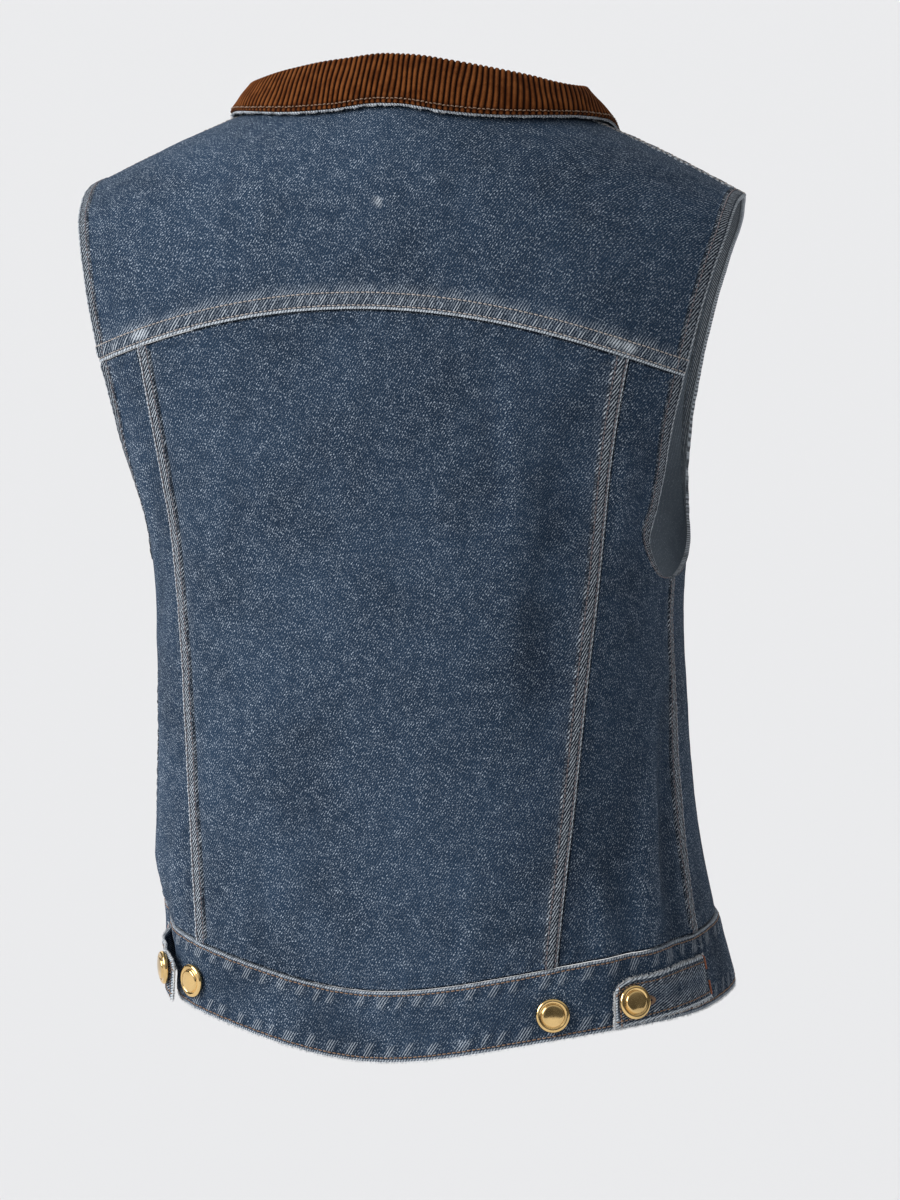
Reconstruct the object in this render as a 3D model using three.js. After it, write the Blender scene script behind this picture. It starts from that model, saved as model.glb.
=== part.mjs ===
// A sleeveless denim jacket as it hangs when worn: hollow cloth walls on a general figure.
// Millimetres, +X to the wearer's left, +Y to the back, +Z up. The origin is the middle of the neck
// opening at the height of the shoulders, where the wearer carries the garment.
import * as THREE from "three";

// Lengths down the garment
const BAND_TOP = -521;
const HEM = -563;
const UNDERARM = -287;
const HEM_RISE = 24;
const HEM_RISE_TURN = 70;

// Rings of the body, from the hem up
const RING = { z: 0, halfWidth: 1, back: 2, front: 3, middle: 4 };
const RINGS = [
  [-563, 186, 127, 124, 10],
  [-520, 177, 126, 122, 9],
  [-498, 172, 127, 122, 9],
  [-440, 165, 126, 120, 7],
  [-360, 160, 124, 122, 4],
  [-300, 158, 123, 127, 2],
  [-250, 166, 122, 129, 0],
  [-200, 188, 122, 127, 0],
  [-140, 210, 122, 122, 0],
  [-80, 224, 121, 114, 0],
  [-20, 230, 120, 110, 0],
  [60, 232, 120, 110, 0],
];
const RING_POWER = 2.5;

// Rounding of the upper back and chest over to the shoulder line
const CAP_BACK = { height: 150, power: 2.6 };
const CAP_FRONT = { height: 170, power: 2.05 };
const CREST_TOP = 12;
const CREST_SLOPE = 0.3;
const CREST_ROUND = 30;
const CREST_DROOP = 0.00058;

// How the hips stand against the shoulders
const HIP_SHIFT = 18;
const HIP_TURN = -9;

// Shoulder, neck and armhole lines
const NECK_HALF = 87;
const TIP_HALF = 199;
const NECK_PLAN = [
  [0, 52], [30, 49], [58, 37], [78, 18], [87, 0],
  [86, -20], [76, -46], [58, -66], [36, -80], [16, -87], [0, -89],
];
const ARM_BACK = [
  [196, -78], [190, -100], [182, -132], [174, -166], [166, -200], [157, -240], [152, -262],
];
const ARM_FRONT = [
  [155, -263], [151, -238], [152, -208], [158, -175], [168, -138], [181, -103], [192, -78],
];
const ARM_BOTTOM_BACK = [76, -283];
const ARM_BOTTOM_FRONT = [94, -282];
const SIDE_SEAM = 84;

// Back seams
const YOKE = { z: -121, arch: 0.0013 };
const PRINCESS = [
  [-521, 112], [-470, 114], [-410, 118], [-350, 122], [-290, 127], [-240, 132], [-190, 139], [-140, 148],
];

// Front edge
const FRONT_BAND = 36;
const FRONT_LAP = 3.5;
const LAP_FROM = 140;
const LAP_FULL = 167;

// Cloth
const FACE = 0.7;
const SEAM = 0.15;
const FELL = { width: 8, slope: 1.2, height: 1.9 };
const SHOULDER_FELL = 1.4;
const ARM_HEM = { width: 9, height: 1.5 };
const YOKE_FELL = { width: 10.5, slope: 1.2, height: 2.1 };
const BAND = { inside: 1.1, edge: 1.3, face: 2.1, roll: 2.5 };

// Largest folds: angle and height of both ends, half width and depth
const FOLD = { topTurn: 0, top: 1, bottomTurn: 2, bottom: 3, half: 4, depth: 5 };
const FOLDS = [
  [-47, -150, -41, -400, 17, -3.5],
  [-70, -385, -64, -525, 15, 4.5],
  [-79, -340, -74, -520, 13, -6.5],
  [62, -190, 64, -300, 12, 3.0],
  [74, -330, 70, -520, 14, -5.5],
  [-10, -190, -6, -330, 22, -1.6],
  [18, -330, 14, -500, 26, -1.8],
  [-100, -300, -104, -500, 14, -6.0],
  [101, -310, 98, -490, 15, -5.0],
  [-128, -230, -122, -430, 22, 3.0],
  [126, -210, 131, -400, 20, -3.0],
  [70, -466, 72, -650, 44, -30],
];

// Mesh steps
const ROWS_LOWER = 12;
const ROWS_BACK_UPPER = 6;
const ROWS_FRONT_UPPER = 12;
const ROWS_NECK = 5;
const FRONT_ROW_TURN = -325;
const COLUMNS_CENTRE = 17;
const COLUMNS_SIDE = 4;
const COLUMNS_FRONT = 9;
const COLUMNS_FRONT_BAND = 3;
const ROWS_YOKE = 9;

// Collar
const WALES = 150;
const COLLAR_COLUMNS = 42;
const COLLAR_END = 14;
const COLLAR_BASE = 1.7;
const COLLAR_FOLD_RADIUS = 2.5;
const COLLAR_GAP = 0.15;
const CORD_VALLEY = 1.2;
const CORD_PEAK = 2.2;
const UNDERCOLLAR = 1.35;
const UNDERCOLLAR_SHOWS = 1.4;
const EDGE_CLEARANCE = 4.2;
const EDGE_PLAN = [
  [0, 77], [35, 75], [68, 62], [94, 38], [111, 2],
  [115, -25], [112, -48], [99, -72], [78, -93], [50, -108],
];
const STAND = { along: 0, edgeAlong: 1, out: 2, up: 3 };
const STANDS = [
  [0.0, 0.0, 3.5, 17],
  [0.22, 0.19, 5.5, 16],
  [0.44, 0.42, 11.5, 11],
  [0.7, 0.7, 11.0, 12],
  [1.0, 1.0, 8.0, 14],
];

// Tabs and buttons on the waistband: turns in degrees from centre back, heights above the hem
const TAB = {
  length: 25.6, sewnLow: 5, sewnHigh: 29, tipLow: 0.8, tipHigh: 27.5, corner: 6, gap: 0.4, cloth: 2,
};
const TAB_COLUMNS = 10;
const TAB_BOW_ENDS = 0.72;
const TAB_SIDES = {
  left: { side: 1, tip: 51.2, standsOff: 5, bow: 6, button: [54.8, 18], spare: [47, 17] },
  right: { side: -1, tip: 57.4, standsOff: 0.8, bow: 0, button: [61, 14], spare: [45.5, 15] },
};
const BUTTON_GAP = 0.3;
const BUTTON_SIDES = 12;
const BUTTON_PROFILE = [
  [0, 0], [8.6, 0], [10, 1.5], [9.3, 3.1], [7.6, 3.3], [6.9, 2.9], [6.2, 4], [0, 4.7],
];
const FRONT_BUTTONS = 5;
const FRONT_BUTTON_TOP = -84;
const FRONT_BUTTON_STEP = 92;

// Materials
const DENIM = { color: 0x3c5573, roughness: 0.92, metalness: 0 };
const CORDUROY = { color: 0x6b3c1b, roughness: 0.95, metalness: 0 };
const GOLD = { color: 0xc9a765, roughness: 0.22, metalness: 1 };

const mix = (a, b, t) => a + (b - a) * t;
const clamp = (x, low, high) => Math.min(Math.max(x, low), high);
const radians = (degrees) => (degrees * Math.PI) / 180;
const smooth = (t) => {
  const c = clamp(t, 0, 1);
  return c * c * (3 - 2 * c);
};

// Smooth curve through the points (xs, ys), level with them at the ends
function curve(xs, ys, x) {
  const last = xs.length - 1;
  const at = clamp(x, xs[0], xs[last]);
  let i = 0;
  while (i < last - 1 && at > xs[i + 1]) i += 1;
  const slope = (k) => {
    const from = Math.max(k - 1, 0);
    const to = Math.min(k + 1, last);
    return (ys[to] - ys[from]) / (xs[to] - xs[from]);
  };
  const width = xs[i + 1] - xs[i];
  const t = (at - xs[i]) / width;
  const rest = 1 - t;
  return (1 + 2 * t) * rest * rest * ys[i] + t * rest * rest * width * slope(i)
    + t * t * (3 - 2 * t) * ys[i + 1] - t * t * rest * width * slope(i + 1);
}

const columnOf = (table, column) => table.map((row) => row[column]);
const ringHeights = columnOf(RINGS, RING.z);
const ringColumns = RINGS[0].map((_, column) => columnOf(RINGS, column));
const ringAt = (height, column) => curve(ringHeights, ringColumns[column], height);

const crest = (x) => (
  CREST_TOP - CREST_SLOPE * (Math.hypot(x, CREST_ROUND) - CREST_ROUND) - CREST_DROOP * x * x);
const hemRise = (turn) => {
  const share = clamp(Math.abs(turn) / radians(HEM_RISE_TURN), 0, 1);
  return HEM_RISE * Math.sin((Math.PI / 2) * share) ** 2;
};
const lapLift = (turn) => FRONT_LAP * smooth((-turn - radians(LAP_FROM)) / radians(LAP_FULL - LAP_FROM));

// Depth of all the folds at a place on the unrolled cloth
function foldDepth(turn, height) {
  let depth = 0;
  for (const fold of FOLDS) {
    const along = (fold[FOLD.top] - height) / (fold[FOLD.top] - fold[FOLD.bottom]);
    if (along <= 0 || along >= 1) continue;
    const line = radians(mix(fold[FOLD.topTurn], fold[FOLD.bottomTurn], along));
    const aside = ((turn - line) * ringAt(height, RING.halfWidth)) / fold[FOLD.half];
    const fade = Math.sin(Math.PI * along) ** 1.3;
    depth += fold[FOLD.depth] * fade * Math.exp(-aside * aside);
  }
  return depth;
}

// A point of the cloth from its turn from centre back (radians) and its unrolled height
function cloth([turn, height]) {
  const front = Math.abs(turn) > Math.PI / 2;
  const cap = front ? CAP_FRONT : CAP_BACK;
  const across = Math.abs(Math.sin(turn)) / ringAt(height, RING.halfWidth);
  const deep = Math.abs(Math.cos(turn)) / ringAt(height, front ? RING.front : RING.back);
  const radius = (across ** RING_POWER + deep ** RING_POWER) ** (-1 / RING_POWER) + foldDepth(turn, height);
  const x = radius * Math.sin(turn);
  let y = ringAt(height, RING.middle) + radius * Math.cos(turn);
  let z = height;
  const capFoot = crest(x) - cap.height;
  if (height > capFoot) {
    const bend = (height - capFoot) / cap.height;
    const cosine = Math.cos(bend);
    const sine = Math.sin(bend);
    const reach = (Math.abs(cosine) ** cap.power + sine ** cap.power) ** (-1 / cap.power);
    z = capFoot + cap.height * reach * sine;
    y *= reach * cosine;
  }
  const down = clamp(z / HEM, 0, 1.1) ** 3;
  const twist = radians(HIP_TURN) * down;
  return new THREE.Vector3(
    x * Math.cos(twist) - y * Math.sin(twist) - HIP_SHIFT * down,
    x * Math.sin(twist) + y * Math.cos(twist),
    z,
  );
}

// Outward direction of the cloth
function outward([turn, height]) {
  const turnStep = 0.004;
  const heightStep = 0.6;
  const alongTurn = cloth([turn + turnStep, height]).sub(cloth([turn - turnStep, height]));
  const alongHeight = cloth([turn, height + heightStep]).sub(cloth([turn, height - heightStep]));
  return alongHeight.cross(alongTurn).normalize();
}

const raised = (place, lift) => cloth(place).addScaledVector(outward(place), lift + lapLift(place[0]));

// Turn from centre back of the point x aside at an unrolled height
function turnAt(x, height, front) {
  const ratio = Math.min(Math.abs(x) / ringAt(height, RING.halfWidth), 1);
  const y = ringAt(height, front ? RING.front : RING.back) * (1 - ratio ** RING_POWER) ** (1 / RING_POWER);
  return Math.atan2(x, front ? -y : y);
}

// Place of the point x aside whose cap has bent by the angle given
function placeAtBend(x, bend, front) {
  const cap = front ? CAP_FRONT : CAP_BACK;
  const height = crest(x) - cap.height + cap.height * bend;
  return [turnAt(x, height, front), height];
}

// Place of the point at x and height z on the back or the front
function placeAtHeight(x, z, front) {
  const cap = front ? CAP_FRONT : CAP_BACK;
  const capFoot = crest(x) - cap.height;
  if (z <= capFoot) return [turnAt(x, z, front), z];
  const up = clamp((z - capFoot) / cap.height, 0, 1);
  return placeAtBend(x, Math.atan2(up, (1 - up ** cap.power) ** (1 / cap.power)), front);
}

// Place of the point above (x, y) in the plan of the shoulders
function placeInPlan(x, y) {
  const front = y < 0;
  let low = 0;
  let high = Math.PI / 2;
  for (let step = 0; step < 40; step += 1) {
    const bend = (low + high) / 2;
    if (Math.abs(cloth(placeAtBend(x, bend, front)).y) > Math.abs(y)) low = bend;
    else high = bend;
  }
  return placeAtBend(x, high, front);
}

const crestPlace = (x, front) => placeAtBend(x, Math.PI / 2, front);

// Smooth line through places, run by a share from 0 to 1 of its length
function lineThrough(places) {
  const run = [0];
  for (let i = 1; i < places.length; i += 1) {
    run.push(run[i - 1] + cloth(places[i]).distanceTo(cloth(places[i - 1])));
  }
  const total = run[run.length - 1];
  const turns = columnOf(places, 0);
  const heights = columnOf(places, 1);
  return (share) => [curve(run, turns, share * total), curve(run, heights, share * total)];
}

// Smooth line through points of the plan, which may cross the shoulder line
function planLine(spots) {
  const run = [0];
  for (let i = 1; i < spots.length; i += 1) {
    const [from, to] = [spots[i - 1], spots[i]];
    run.push(run[i - 1] + Math.hypot(to[0] - from[0], to[1] - from[1]));
  }
  const total = run[run.length - 1];
  return (share) => placeInPlan(...[0, 1].map((axis) => curve(run, columnOf(spots, axis), share * total)));
}

// Share of a line where a test of its place first changes
function shareWhere(line, test) {
  let low = 0;
  let high = 1;
  for (let step = 0; step < 40; step += 1) {
    const middle = (low + high) / 2;
    if (test(line(middle))) high = middle;
    else low = middle;
  }
  return high;
}

const part = (line, from, to) => (share) => line(mix(from, to, share));

// Shares of a line at set distances from its two ends, with even steps between
function shares(line, first, last, between) {
  const samples = 60;
  const run = [0];
  for (let i = 1; i <= samples; i += 1) {
    run.push(run[i - 1] + cloth(line(i / samples)).distanceTo(cloth(line((i - 1) / samples))));
  }
  const total = run[samples];
  const ends = first.concat(last.map((distance) => total - distance).reverse());
  const spots = first.slice();
  const start = ends[first.length - 1];
  const stop = ends[first.length];
  for (let i = 1; i < between; i += 1) spots.push(mix(start, stop, i / between));
  spots.push(...ends.slice(first.length));
  return spots.map((spot) => {
    let i = 0;
    while (i < samples - 1 && run[i + 1] < spot) i += 1;
    return (i + (spot - run[i]) / (run[i + 1] - run[i])) / samples;
  });
}

// Place inside four border lines at the shares u along and v up
function patch({ left, right, bottom, top }) {
  const corners = [bottom(0), bottom(1), top(0), top(1)];
  return (u, v) => {
    const sides = [left(v), right(v), bottom(u), top(u)];
    return [0, 1].map((axis) => {
      const [l, r, b, t] = sides.map((place) => place[axis]);
      const [c0, c1, c2, c3] = corners.map((place) => place[axis]);
      return mix(l, r, u) + mix(b, t, v) - mix(mix(c0, c1, u), mix(c2, c3, u), v);
    });
  };
}

function meshOf(name, positions, triangles, finish) {
  const geometry = new THREE.BufferGeometry();
  const numbers = positions.flatMap((point) => [point.x, point.y, point.z]);
  geometry.setAttribute("position", new THREE.Float32BufferAttribute(numbers, 3));
  geometry.setIndex(triangles.flat());
  geometry.computeVertexNormals();
  const mesh = new THREE.Mesh(geometry, new THREE.MeshStandardMaterial(finish));
  mesh.name = name;
  return mesh;
}

// Joins two rows of point numbers with triangles, whatever their counts
function stitch(near, far) {
  const triangles = [];
  let i = 0;
  let j = 0;
  while (i < near.length - 1 || j < far.length - 1) {
    const nextNear = (i + 1) / (near.length - 1);
    const nextFar = (j + 1) / (far.length - 1);
    if (j === far.length - 1 || (i < near.length - 1 && nextNear <= nextFar)) {
      triangles.push([near[i], near[i + 1], far[j]]);
      i += 1;
    } else {
      triangles.push([near[i], far[j + 1], far[j]]);
      j += 1;
    }
  }
  return triangles;
}

// Closed wall between an outer and an inner grid of points with equal rows
function wall(name, outer, inner, finish, flip) {
  const points = outer.flat().concat(inner.flat());
  let next = 0;
  const number = (grid) => grid.map((row) => row.map(() => next++));
  const out = number(outer);
  const ins = number(inner);
  const triangles = [];
  for (let j = 0; j < out.length - 1; j += 1) {
    triangles.push(...stitch(out[j + 1], out[j]));
    triangles.push(...stitch(ins[j + 1], ins[j]).map(([a, b, c]) => [a, c, b]));
  }
  const rowsLast = out.length - 1;
  triangles.push(...stitch(out[0], ins[0]));
  triangles.push(...stitch(ins[rowsLast], out[rowsLast]));
  const edge = (grid, last) => grid.map((row) => row[last ? row.length - 1 : 0]);
  triangles.push(...stitch(edge(ins, false), edge(out, false)));
  triangles.push(...stitch(edge(out, true), edge(ins, true)));
  const turned = flip ? triangles.map(([a, b, c]) => [a, c, b]) : triangles;
  return meshOf(name, points, turned, finish);
}

// Cloth panel: columns(v) and rows(u) give its steps, lift(j, k) the height of its outer face
function panel(name, borders, columns, rows, lift, side = 1, inside = FACE) {
  const within = patch(borders);
  const low = columns(0);
  const high = columns(1);
  const rowShares = low.map((u, k) => rows((u + high[k]) / 2));
  const outer = [];
  const inner = [];
  for (let j = 0; j < rowShares[0].length; j += 1) {
    const level = rowShares.reduce((sum, list) => sum + list[j], 0) / rowShares.length;
    const along = columns(level);
    const places = along.map((u, k) => {
      const [turn, height] = within(u, rowShares[k][j]);
      return [side * turn, height];
    });
    outer.push(places.map((place, k) => raised(place, lift(j, k))));
    inner.push(places.map((place) => raised(place, -inside)));
  }
  return wall(name, outer, inner, DENIM, side < 0);
}

// Lines on the cloth, for the wearer's left
const neckline = planLine(NECK_PLAN);
const necklineBack = lineThrough(NECK_PLAN.filter(([, y]) => y > 0).map(([x, y]) => placeInPlan(x, y))
  .concat([crestPlace(NECK_HALF, false)]));
const necklineFront = lineThrough([crestPlace(NECK_HALF, true)]
  .concat(NECK_PLAN.filter(([, y]) => y < 0).map(([x, y]) => placeInPlan(x, y))));
const armBottom = [radians(SIDE_SEAM), UNDERARM];
const armBack = lineThrough([crestPlace(TIP_HALF, false)]
  .concat(ARM_BACK.map(([x, z]) => placeAtHeight(x, z, false)))
  .concat([[radians(ARM_BOTTOM_BACK[0]), ARM_BOTTOM_BACK[1]], armBottom]));
const armFront = lineThrough([armBottom, [radians(ARM_BOTTOM_FRONT[0]), ARM_BOTTOM_FRONT[1]]]
  .concat(ARM_FRONT.map(([x, z]) => placeAtHeight(x, z, true)))
  .concat([crestPlace(TIP_HALF, true)]));
const yokeSeam = (x) => placeAtHeight(x, YOKE.z - YOKE.arch * x * x, false);
const waistSeam = (turn) => [turn, BAND_TOP + hemRise(turn)];
const princess = (z) => placeAtHeight(curve(columnOf(PRINCESS, 0), columnOf(PRINCESS, 1), z), z, false);

// Where the lines meet
const yokeAtArm = shareWhere(armBack, (place) => cloth(place).z < YOKE.z - YOKE.arch * cloth(place).x ** 2);
const yokeEnd = armBack(yokeAtArm);
const yokeHalf = cloth(yokeEnd).x;
let princessTop = -148;
let princessFoot = BAND_TOP;
for (let step = 0; step < 20; step += 1) {
  const x = curve(columnOf(PRINCESS, 0), columnOf(PRINCESS, 1), princessTop);
  princessTop = YOKE.z - YOKE.arch * x * x;
  princessFoot = waistSeam(princess(princessFoot)[0])[1];
}
const princessHalf = curve(columnOf(PRINCESS, 0), columnOf(PRINCESS, 1), princessTop);
const princessTurn = princess(princessFoot)[0];

// Steps shared by the panels that meet
const underarmShare = ROWS_LOWER / (ROWS_LOWER + ROWS_BACK_UPPER);
const princessLine = (v) => (v < underarmShare
  ? princess(mix(princessFoot, UNDERARM, v / underarmShare))
  : princess(mix(UNDERARM, princessTop, (v - underarmShare) / (1 - underarmShare))));
const sideSeam = (t) => [radians(SIDE_SEAM), mix(waistSeam(radians(SIDE_SEAM))[1], UNDERARM, t)];
const sideLine = (v) => (v < underarmShare
  ? sideSeam(v / underarmShare)
  : armBack(mix(1, yokeAtArm, (v - underarmShare) / (1 - underarmShare))));
const evenRows = (count) => () => {
  const gap = 0.0004;
  const list = Array.from({ length: count + 1 }, (_, j) => j / count);
  list[0] = gap;
  list[count] = 1 - gap;
  return list;
};
const backRows = evenRows(ROWS_LOWER + ROWS_BACK_UPPER);
const fellMarks = [SEAM, FELL.width, FELL.width + FELL.slope];
const hemMarks = [SEAM, ARM_HEM.width, ARM_HEM.width + FELL.slope];

// Centre back panel, lapped over the side panels at both long seams
const centreBorders = {
  left: (v) => [-princessLine(v)[0], princessLine(v)[1]],
  right: princessLine,
  bottom: (u) => waistSeam(mix(-princessTurn, princessTurn, u)),
  top: (u) => yokeSeam(mix(-princessHalf, princessHalf, u)),
};
const centrePatch = patch(centreBorders);
const centreColumns = (v) => shares((u) => centrePatch(u, v), fellMarks, fellMarks, COLUMNS_CENTRE);
const centreLast = COLUMNS_CENTRE + 4;
const centreLift = (j, k) => (k < 2 || k > centreLast - 2 ? FELL.height : FACE);
const vest = new THREE.Group();
vest.add(panel("back_centre", centreBorders, centreColumns, backRows, centreLift));

// Side panels of the back, with the turned armhole and the lapped side seam
const sideBorders = {
  left: princessLine,
  right: sideLine,
  bottom: (u) => waistSeam(mix(princessTurn, radians(SIDE_SEAM), u)),
  top: (u) => yokeSeam(mix(princessHalf, yokeHalf, u)),
};
const sidePatch = patch(sideBorders);
const sideColumns = (v) => shares((u) => sidePatch(u, v), [SEAM], hemMarks, COLUMNS_SIDE);
const sideLast = COLUMNS_SIDE + 2;
const sideLift = (j, k) => {
  if (k < sideLast - 1) return FACE;
  return j > ROWS_LOWER ? ARM_HEM.height : FELL.height;
};
vest.add(panel("back_side_left", sideBorders, sideColumns, backRows, sideLift, 1));
vest.add(panel("back_side_right", sideBorders, sideColumns, backRows, sideLift, -1));

// Front panels, from the side seam and armhole to the front edge, shoulder and neck
const bandEdge = (height) => [turnAt(FRONT_BAND / 2, height, true), height];
const neckAtBand = shareWhere(necklineFront, (place) => cloth(place).x < FRONT_BAND / 2);
const neckBandPlace = necklineFront(neckAtBand);
const bandHeights = [waistSeam(Math.PI)[1], FRONT_ROW_TURN, neckBandPlace[1]];
const bandTurn = turnAt(FRONT_BAND / 2, waistSeam(Math.PI)[1], true);
const frontRowCount = ROWS_LOWER + ROWS_FRONT_UPPER;
const armShare = ROWS_LOWER / frontRowCount;
const neckShare = (frontRowCount - ROWS_NECK) / frontRowCount;
const bandLine = (v) => bandEdge(v < armShare
  ? mix(bandHeights[0], bandHeights[1], v / armShare)
  : mix(bandHeights[1], bandHeights[2], (v - armShare) / (neckShare - armShare)));
const frontBorders = {
  left: (v) => (v < armShare ? sideSeam(v / armShare) : armFront((v - armShare) / (1 - armShare))),
  right: (v) => (v < neckShare
    ? bandLine(v)
    : necklineFront(mix(neckAtBand, 0, (v - neckShare) / (1 - neckShare)))),
  bottom: (u) => waistSeam(mix(radians(SIDE_SEAM), bandTurn, u)),
  top: (u) => crestPlace(mix(TIP_HALF, NECK_HALF, u), true),
};
const frontPatch = patch(frontBorders);
const frontColumns = (v) => shares((u) => frontPatch(u, v), hemMarks, [SEAM], COLUMNS_FRONT);
const shoulderFell = [0.42, 0.36].map((share) => 1 - share / frontRowCount);
const frontRows = () => {
  const list = evenRows(frontRowCount)();
  list.splice(frontRowCount, 0, ...shoulderFell);
  return list;
};
const frontLast = COLUMNS_FRONT + 2;
const frontLift = (j, k) => {
  if (j > frontRowCount && k < frontLast) return SHOULDER_FELL;
  return k < 2 && j >= ROWS_LOWER ? ARM_HEM.height : FACE;
};
vest.add(panel("front_left", frontBorders, frontColumns, frontRows, frontLift, 1));
vest.add(panel("front_right", frontBorders, frontColumns, frontRows, frontLift, -1));

// Front edge bands, the right one over the left
const bandRowCount = frontRowCount - ROWS_NECK;
const frontBandBorders = {
  left: (v) => bandLine(v * neckShare),
  right: (v) => {
    const [turn, height] = frontBandBorders.left(v);
    return [2 * Math.PI - turn, height];
  },
  bottom: (u) => waistSeam(mix(bandTurn, 2 * Math.PI - bandTurn, u)),
  top: (u) => {
    const [turn, height] = necklineFront(mix(neckAtBand, 1, 1 - Math.abs(1 - 2 * u)));
    return [u < 0.5 ? turn : 2 * Math.PI - turn, height];
  },
};
const frontBandPatch = patch(frontBandBorders);
const frontBandColumns = (v) => shares((u) => frontBandPatch(u, v), [SEAM], [SEAM], COLUMNS_FRONT_BAND);
const frontBandRows = evenRows(bandRowCount);
const frontBandLift = () => BAND.edge;
for (const [name, side] of [["front_band_left", 1], ["front_band_right", -1]]) {
  vest.add(panel(
    name,
    frontBandBorders,
    frontBandColumns,
    frontBandRows,
    frontBandLift,
    side,
    BAND.inside,
  ));
}

// Yoke: from the arched back seam over the shoulder blades to the shoulder line and neck
const seamSteps = [
  ...sideColumns(1).slice(0, -1).map((u) => mix(princessHalf, yokeHalf, u)),
  yokeHalf - SEAM,
];
const seamSpots = [
  ...seamSteps.map((x) => -x).reverse(),
  ...centreColumns(1).slice(1, -1).map((u) => mix(-princessHalf, princessHalf, u)),
  ...seamSteps,
];
const crestSteps = frontColumns(1).map((u) => mix(TIP_HALF, NECK_HALF, u));
const yokeColumnCount = seamSpots.length;
const neckSteps = yokeColumnCount - 2 * crestSteps.length + 1;
const yokeBottomShares = seamSpots.map((x) => (x + yokeHalf) / (2 * yokeHalf));
const yokeTopShares = Array.from({ length: yokeColumnCount }, (_, k) => k / (yokeColumnCount - 1));
function yokeTop(share) {
  const at = share * (yokeColumnCount - 1);
  const half = (yokeColumnCount - 1) / 2;
  const side = at < half ? -1 : 1;
  const fromEnd = at < half ? at : yokeColumnCount - 1 - at;
  const crestLast = crestSteps.length - 1;
  let place;
  if (fromEnd <= crestLast) {
    const step = Math.min(Math.floor(fromEnd), crestLast - 1);
    const next = step + 1 === crestLast ? NECK_HALF : crestSteps[step + 1];
    place = crestPlace(mix(crestSteps[step], next, fromEnd - step), false);
  } else {
    place = necklineBack(1 - (2 * (fromEnd - crestLast)) / neckSteps);
  }
  return [side * place[0], place[1]];
}
const yokeBorders = {
  left: (v) => {
    const [turn, height] = armBack(mix(yokeAtArm, 0, v));
    return [-turn, height];
  },
  right: (v) => armBack(mix(yokeAtArm, 0, v)),
  bottom: (u) => yokeSeam(mix(-yokeHalf, yokeHalf, u)),
  top: yokeTop,
};
const yokePatch = patch(yokeBorders);
const yokeColumns = (v) => yokeBottomShares.map((share, k) => mix(share, yokeTopShares[k], v));
const yokeFellMarks = [SEAM, YOKE_FELL.width, YOKE_FELL.width + YOKE_FELL.slope];
const yokeRows = (u) => shares((v) => yokePatch(u, v), yokeFellMarks, [SEAM], ROWS_YOKE);
const yokeLift = (j, k) => {
  const fell = j < 2 ? YOKE_FELL.height : FACE;
  const hem = k < 2 || k > yokeColumnCount - 3 ? ARM_HEM.height : FACE;
  return Math.max(fell, hem);
};
vest.add(panel("yoke", yokeBorders, yokeColumns, yokeRows, yokeLift));

// Waistband: one strip round the hem, its right end over its left at the front
const halfTurns = [
  ...centreColumns(0).map((u) => mix(-princessTurn, princessTurn, u)).filter((turn) => turn > 0).slice(0, -1),
  ...sideColumns(0).map((u) => mix(princessTurn, radians(SIDE_SEAM), u)).slice(0, -1),
  ...frontColumns(0).map((u) => mix(radians(SIDE_SEAM), bandTurn, u)),
  ...frontBandColumns(0).slice(1).map((u) => mix(bandTurn, 2 * Math.PI - bandTurn, u)),
];
const bandTurns = [...halfTurns.map((turn) => -turn).reverse(), ...halfTurns];
const bandLevels = [
  [0, BAND.edge],
  [BAND.roll, BAND.face],
  [(BAND_TOP - HEM) / 2, BAND.face],
  [BAND_TOP - HEM - BAND.roll, BAND.face],
  [BAND_TOP - HEM - 2 * SEAM, BAND.edge],
];
const bandPlace = (turn, up) => [turn, HEM + up + hemRise(turn)];
vest.add(wall(
  "waistband",
  bandLevels.map(([up, lift]) => bandTurns.map((turn) => raised(bandPlace(turn, up), lift))),
  bandLevels.map(([up]) => bandTurns.map((turn) => raised(bandPlace(turn, up), -BAND.inside))),
  DENIM,
  false,
));

// Adjusting tabs, sewn near the side seams and buttoned towards the back. The left one bows away from
// the cloth, which is drawn in below it
function tabLift({ standsOff, bow }, share) {
  const bowed = Math.sin(Math.PI * clamp(share / TAB_BOW_ENDS, 0, 1)) ** 2;
  return BAND.face + TAB.gap + standsOff * smooth((share - 0.25) / 0.6) + bow * bowed;
}
function tab(name, at) {
  const columns = Array.from({ length: TAB_COLUMNS + 1 }, (_, k) => k / TAB_COLUMNS);
  const turn = (share) => at.side * radians(at.tip + TAB.length * (1 - share));
  const bottom = (share) => mix(TAB.sewnLow, TAB.tipLow, share);
  const corner = (share) => TAB.corner * Math.max(0, (share - 0.86) / 0.14);
  const top = (share) => mix(TAB.sewnHigh, TAB.tipHigh, share) - corner(share);
  const levels = [0, 0.5, 1];
  const grid = (more) => levels.map((level) => columns.map((share) => {
    const up = mix(bottom(share), top(share), level);
    return raised(bandPlace(turn(share), up), tabLift(at, share) + more);
  }));
  return wall(name, grid(TAB.cloth), grid(0), DENIM, at.side > 0);
}

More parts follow.
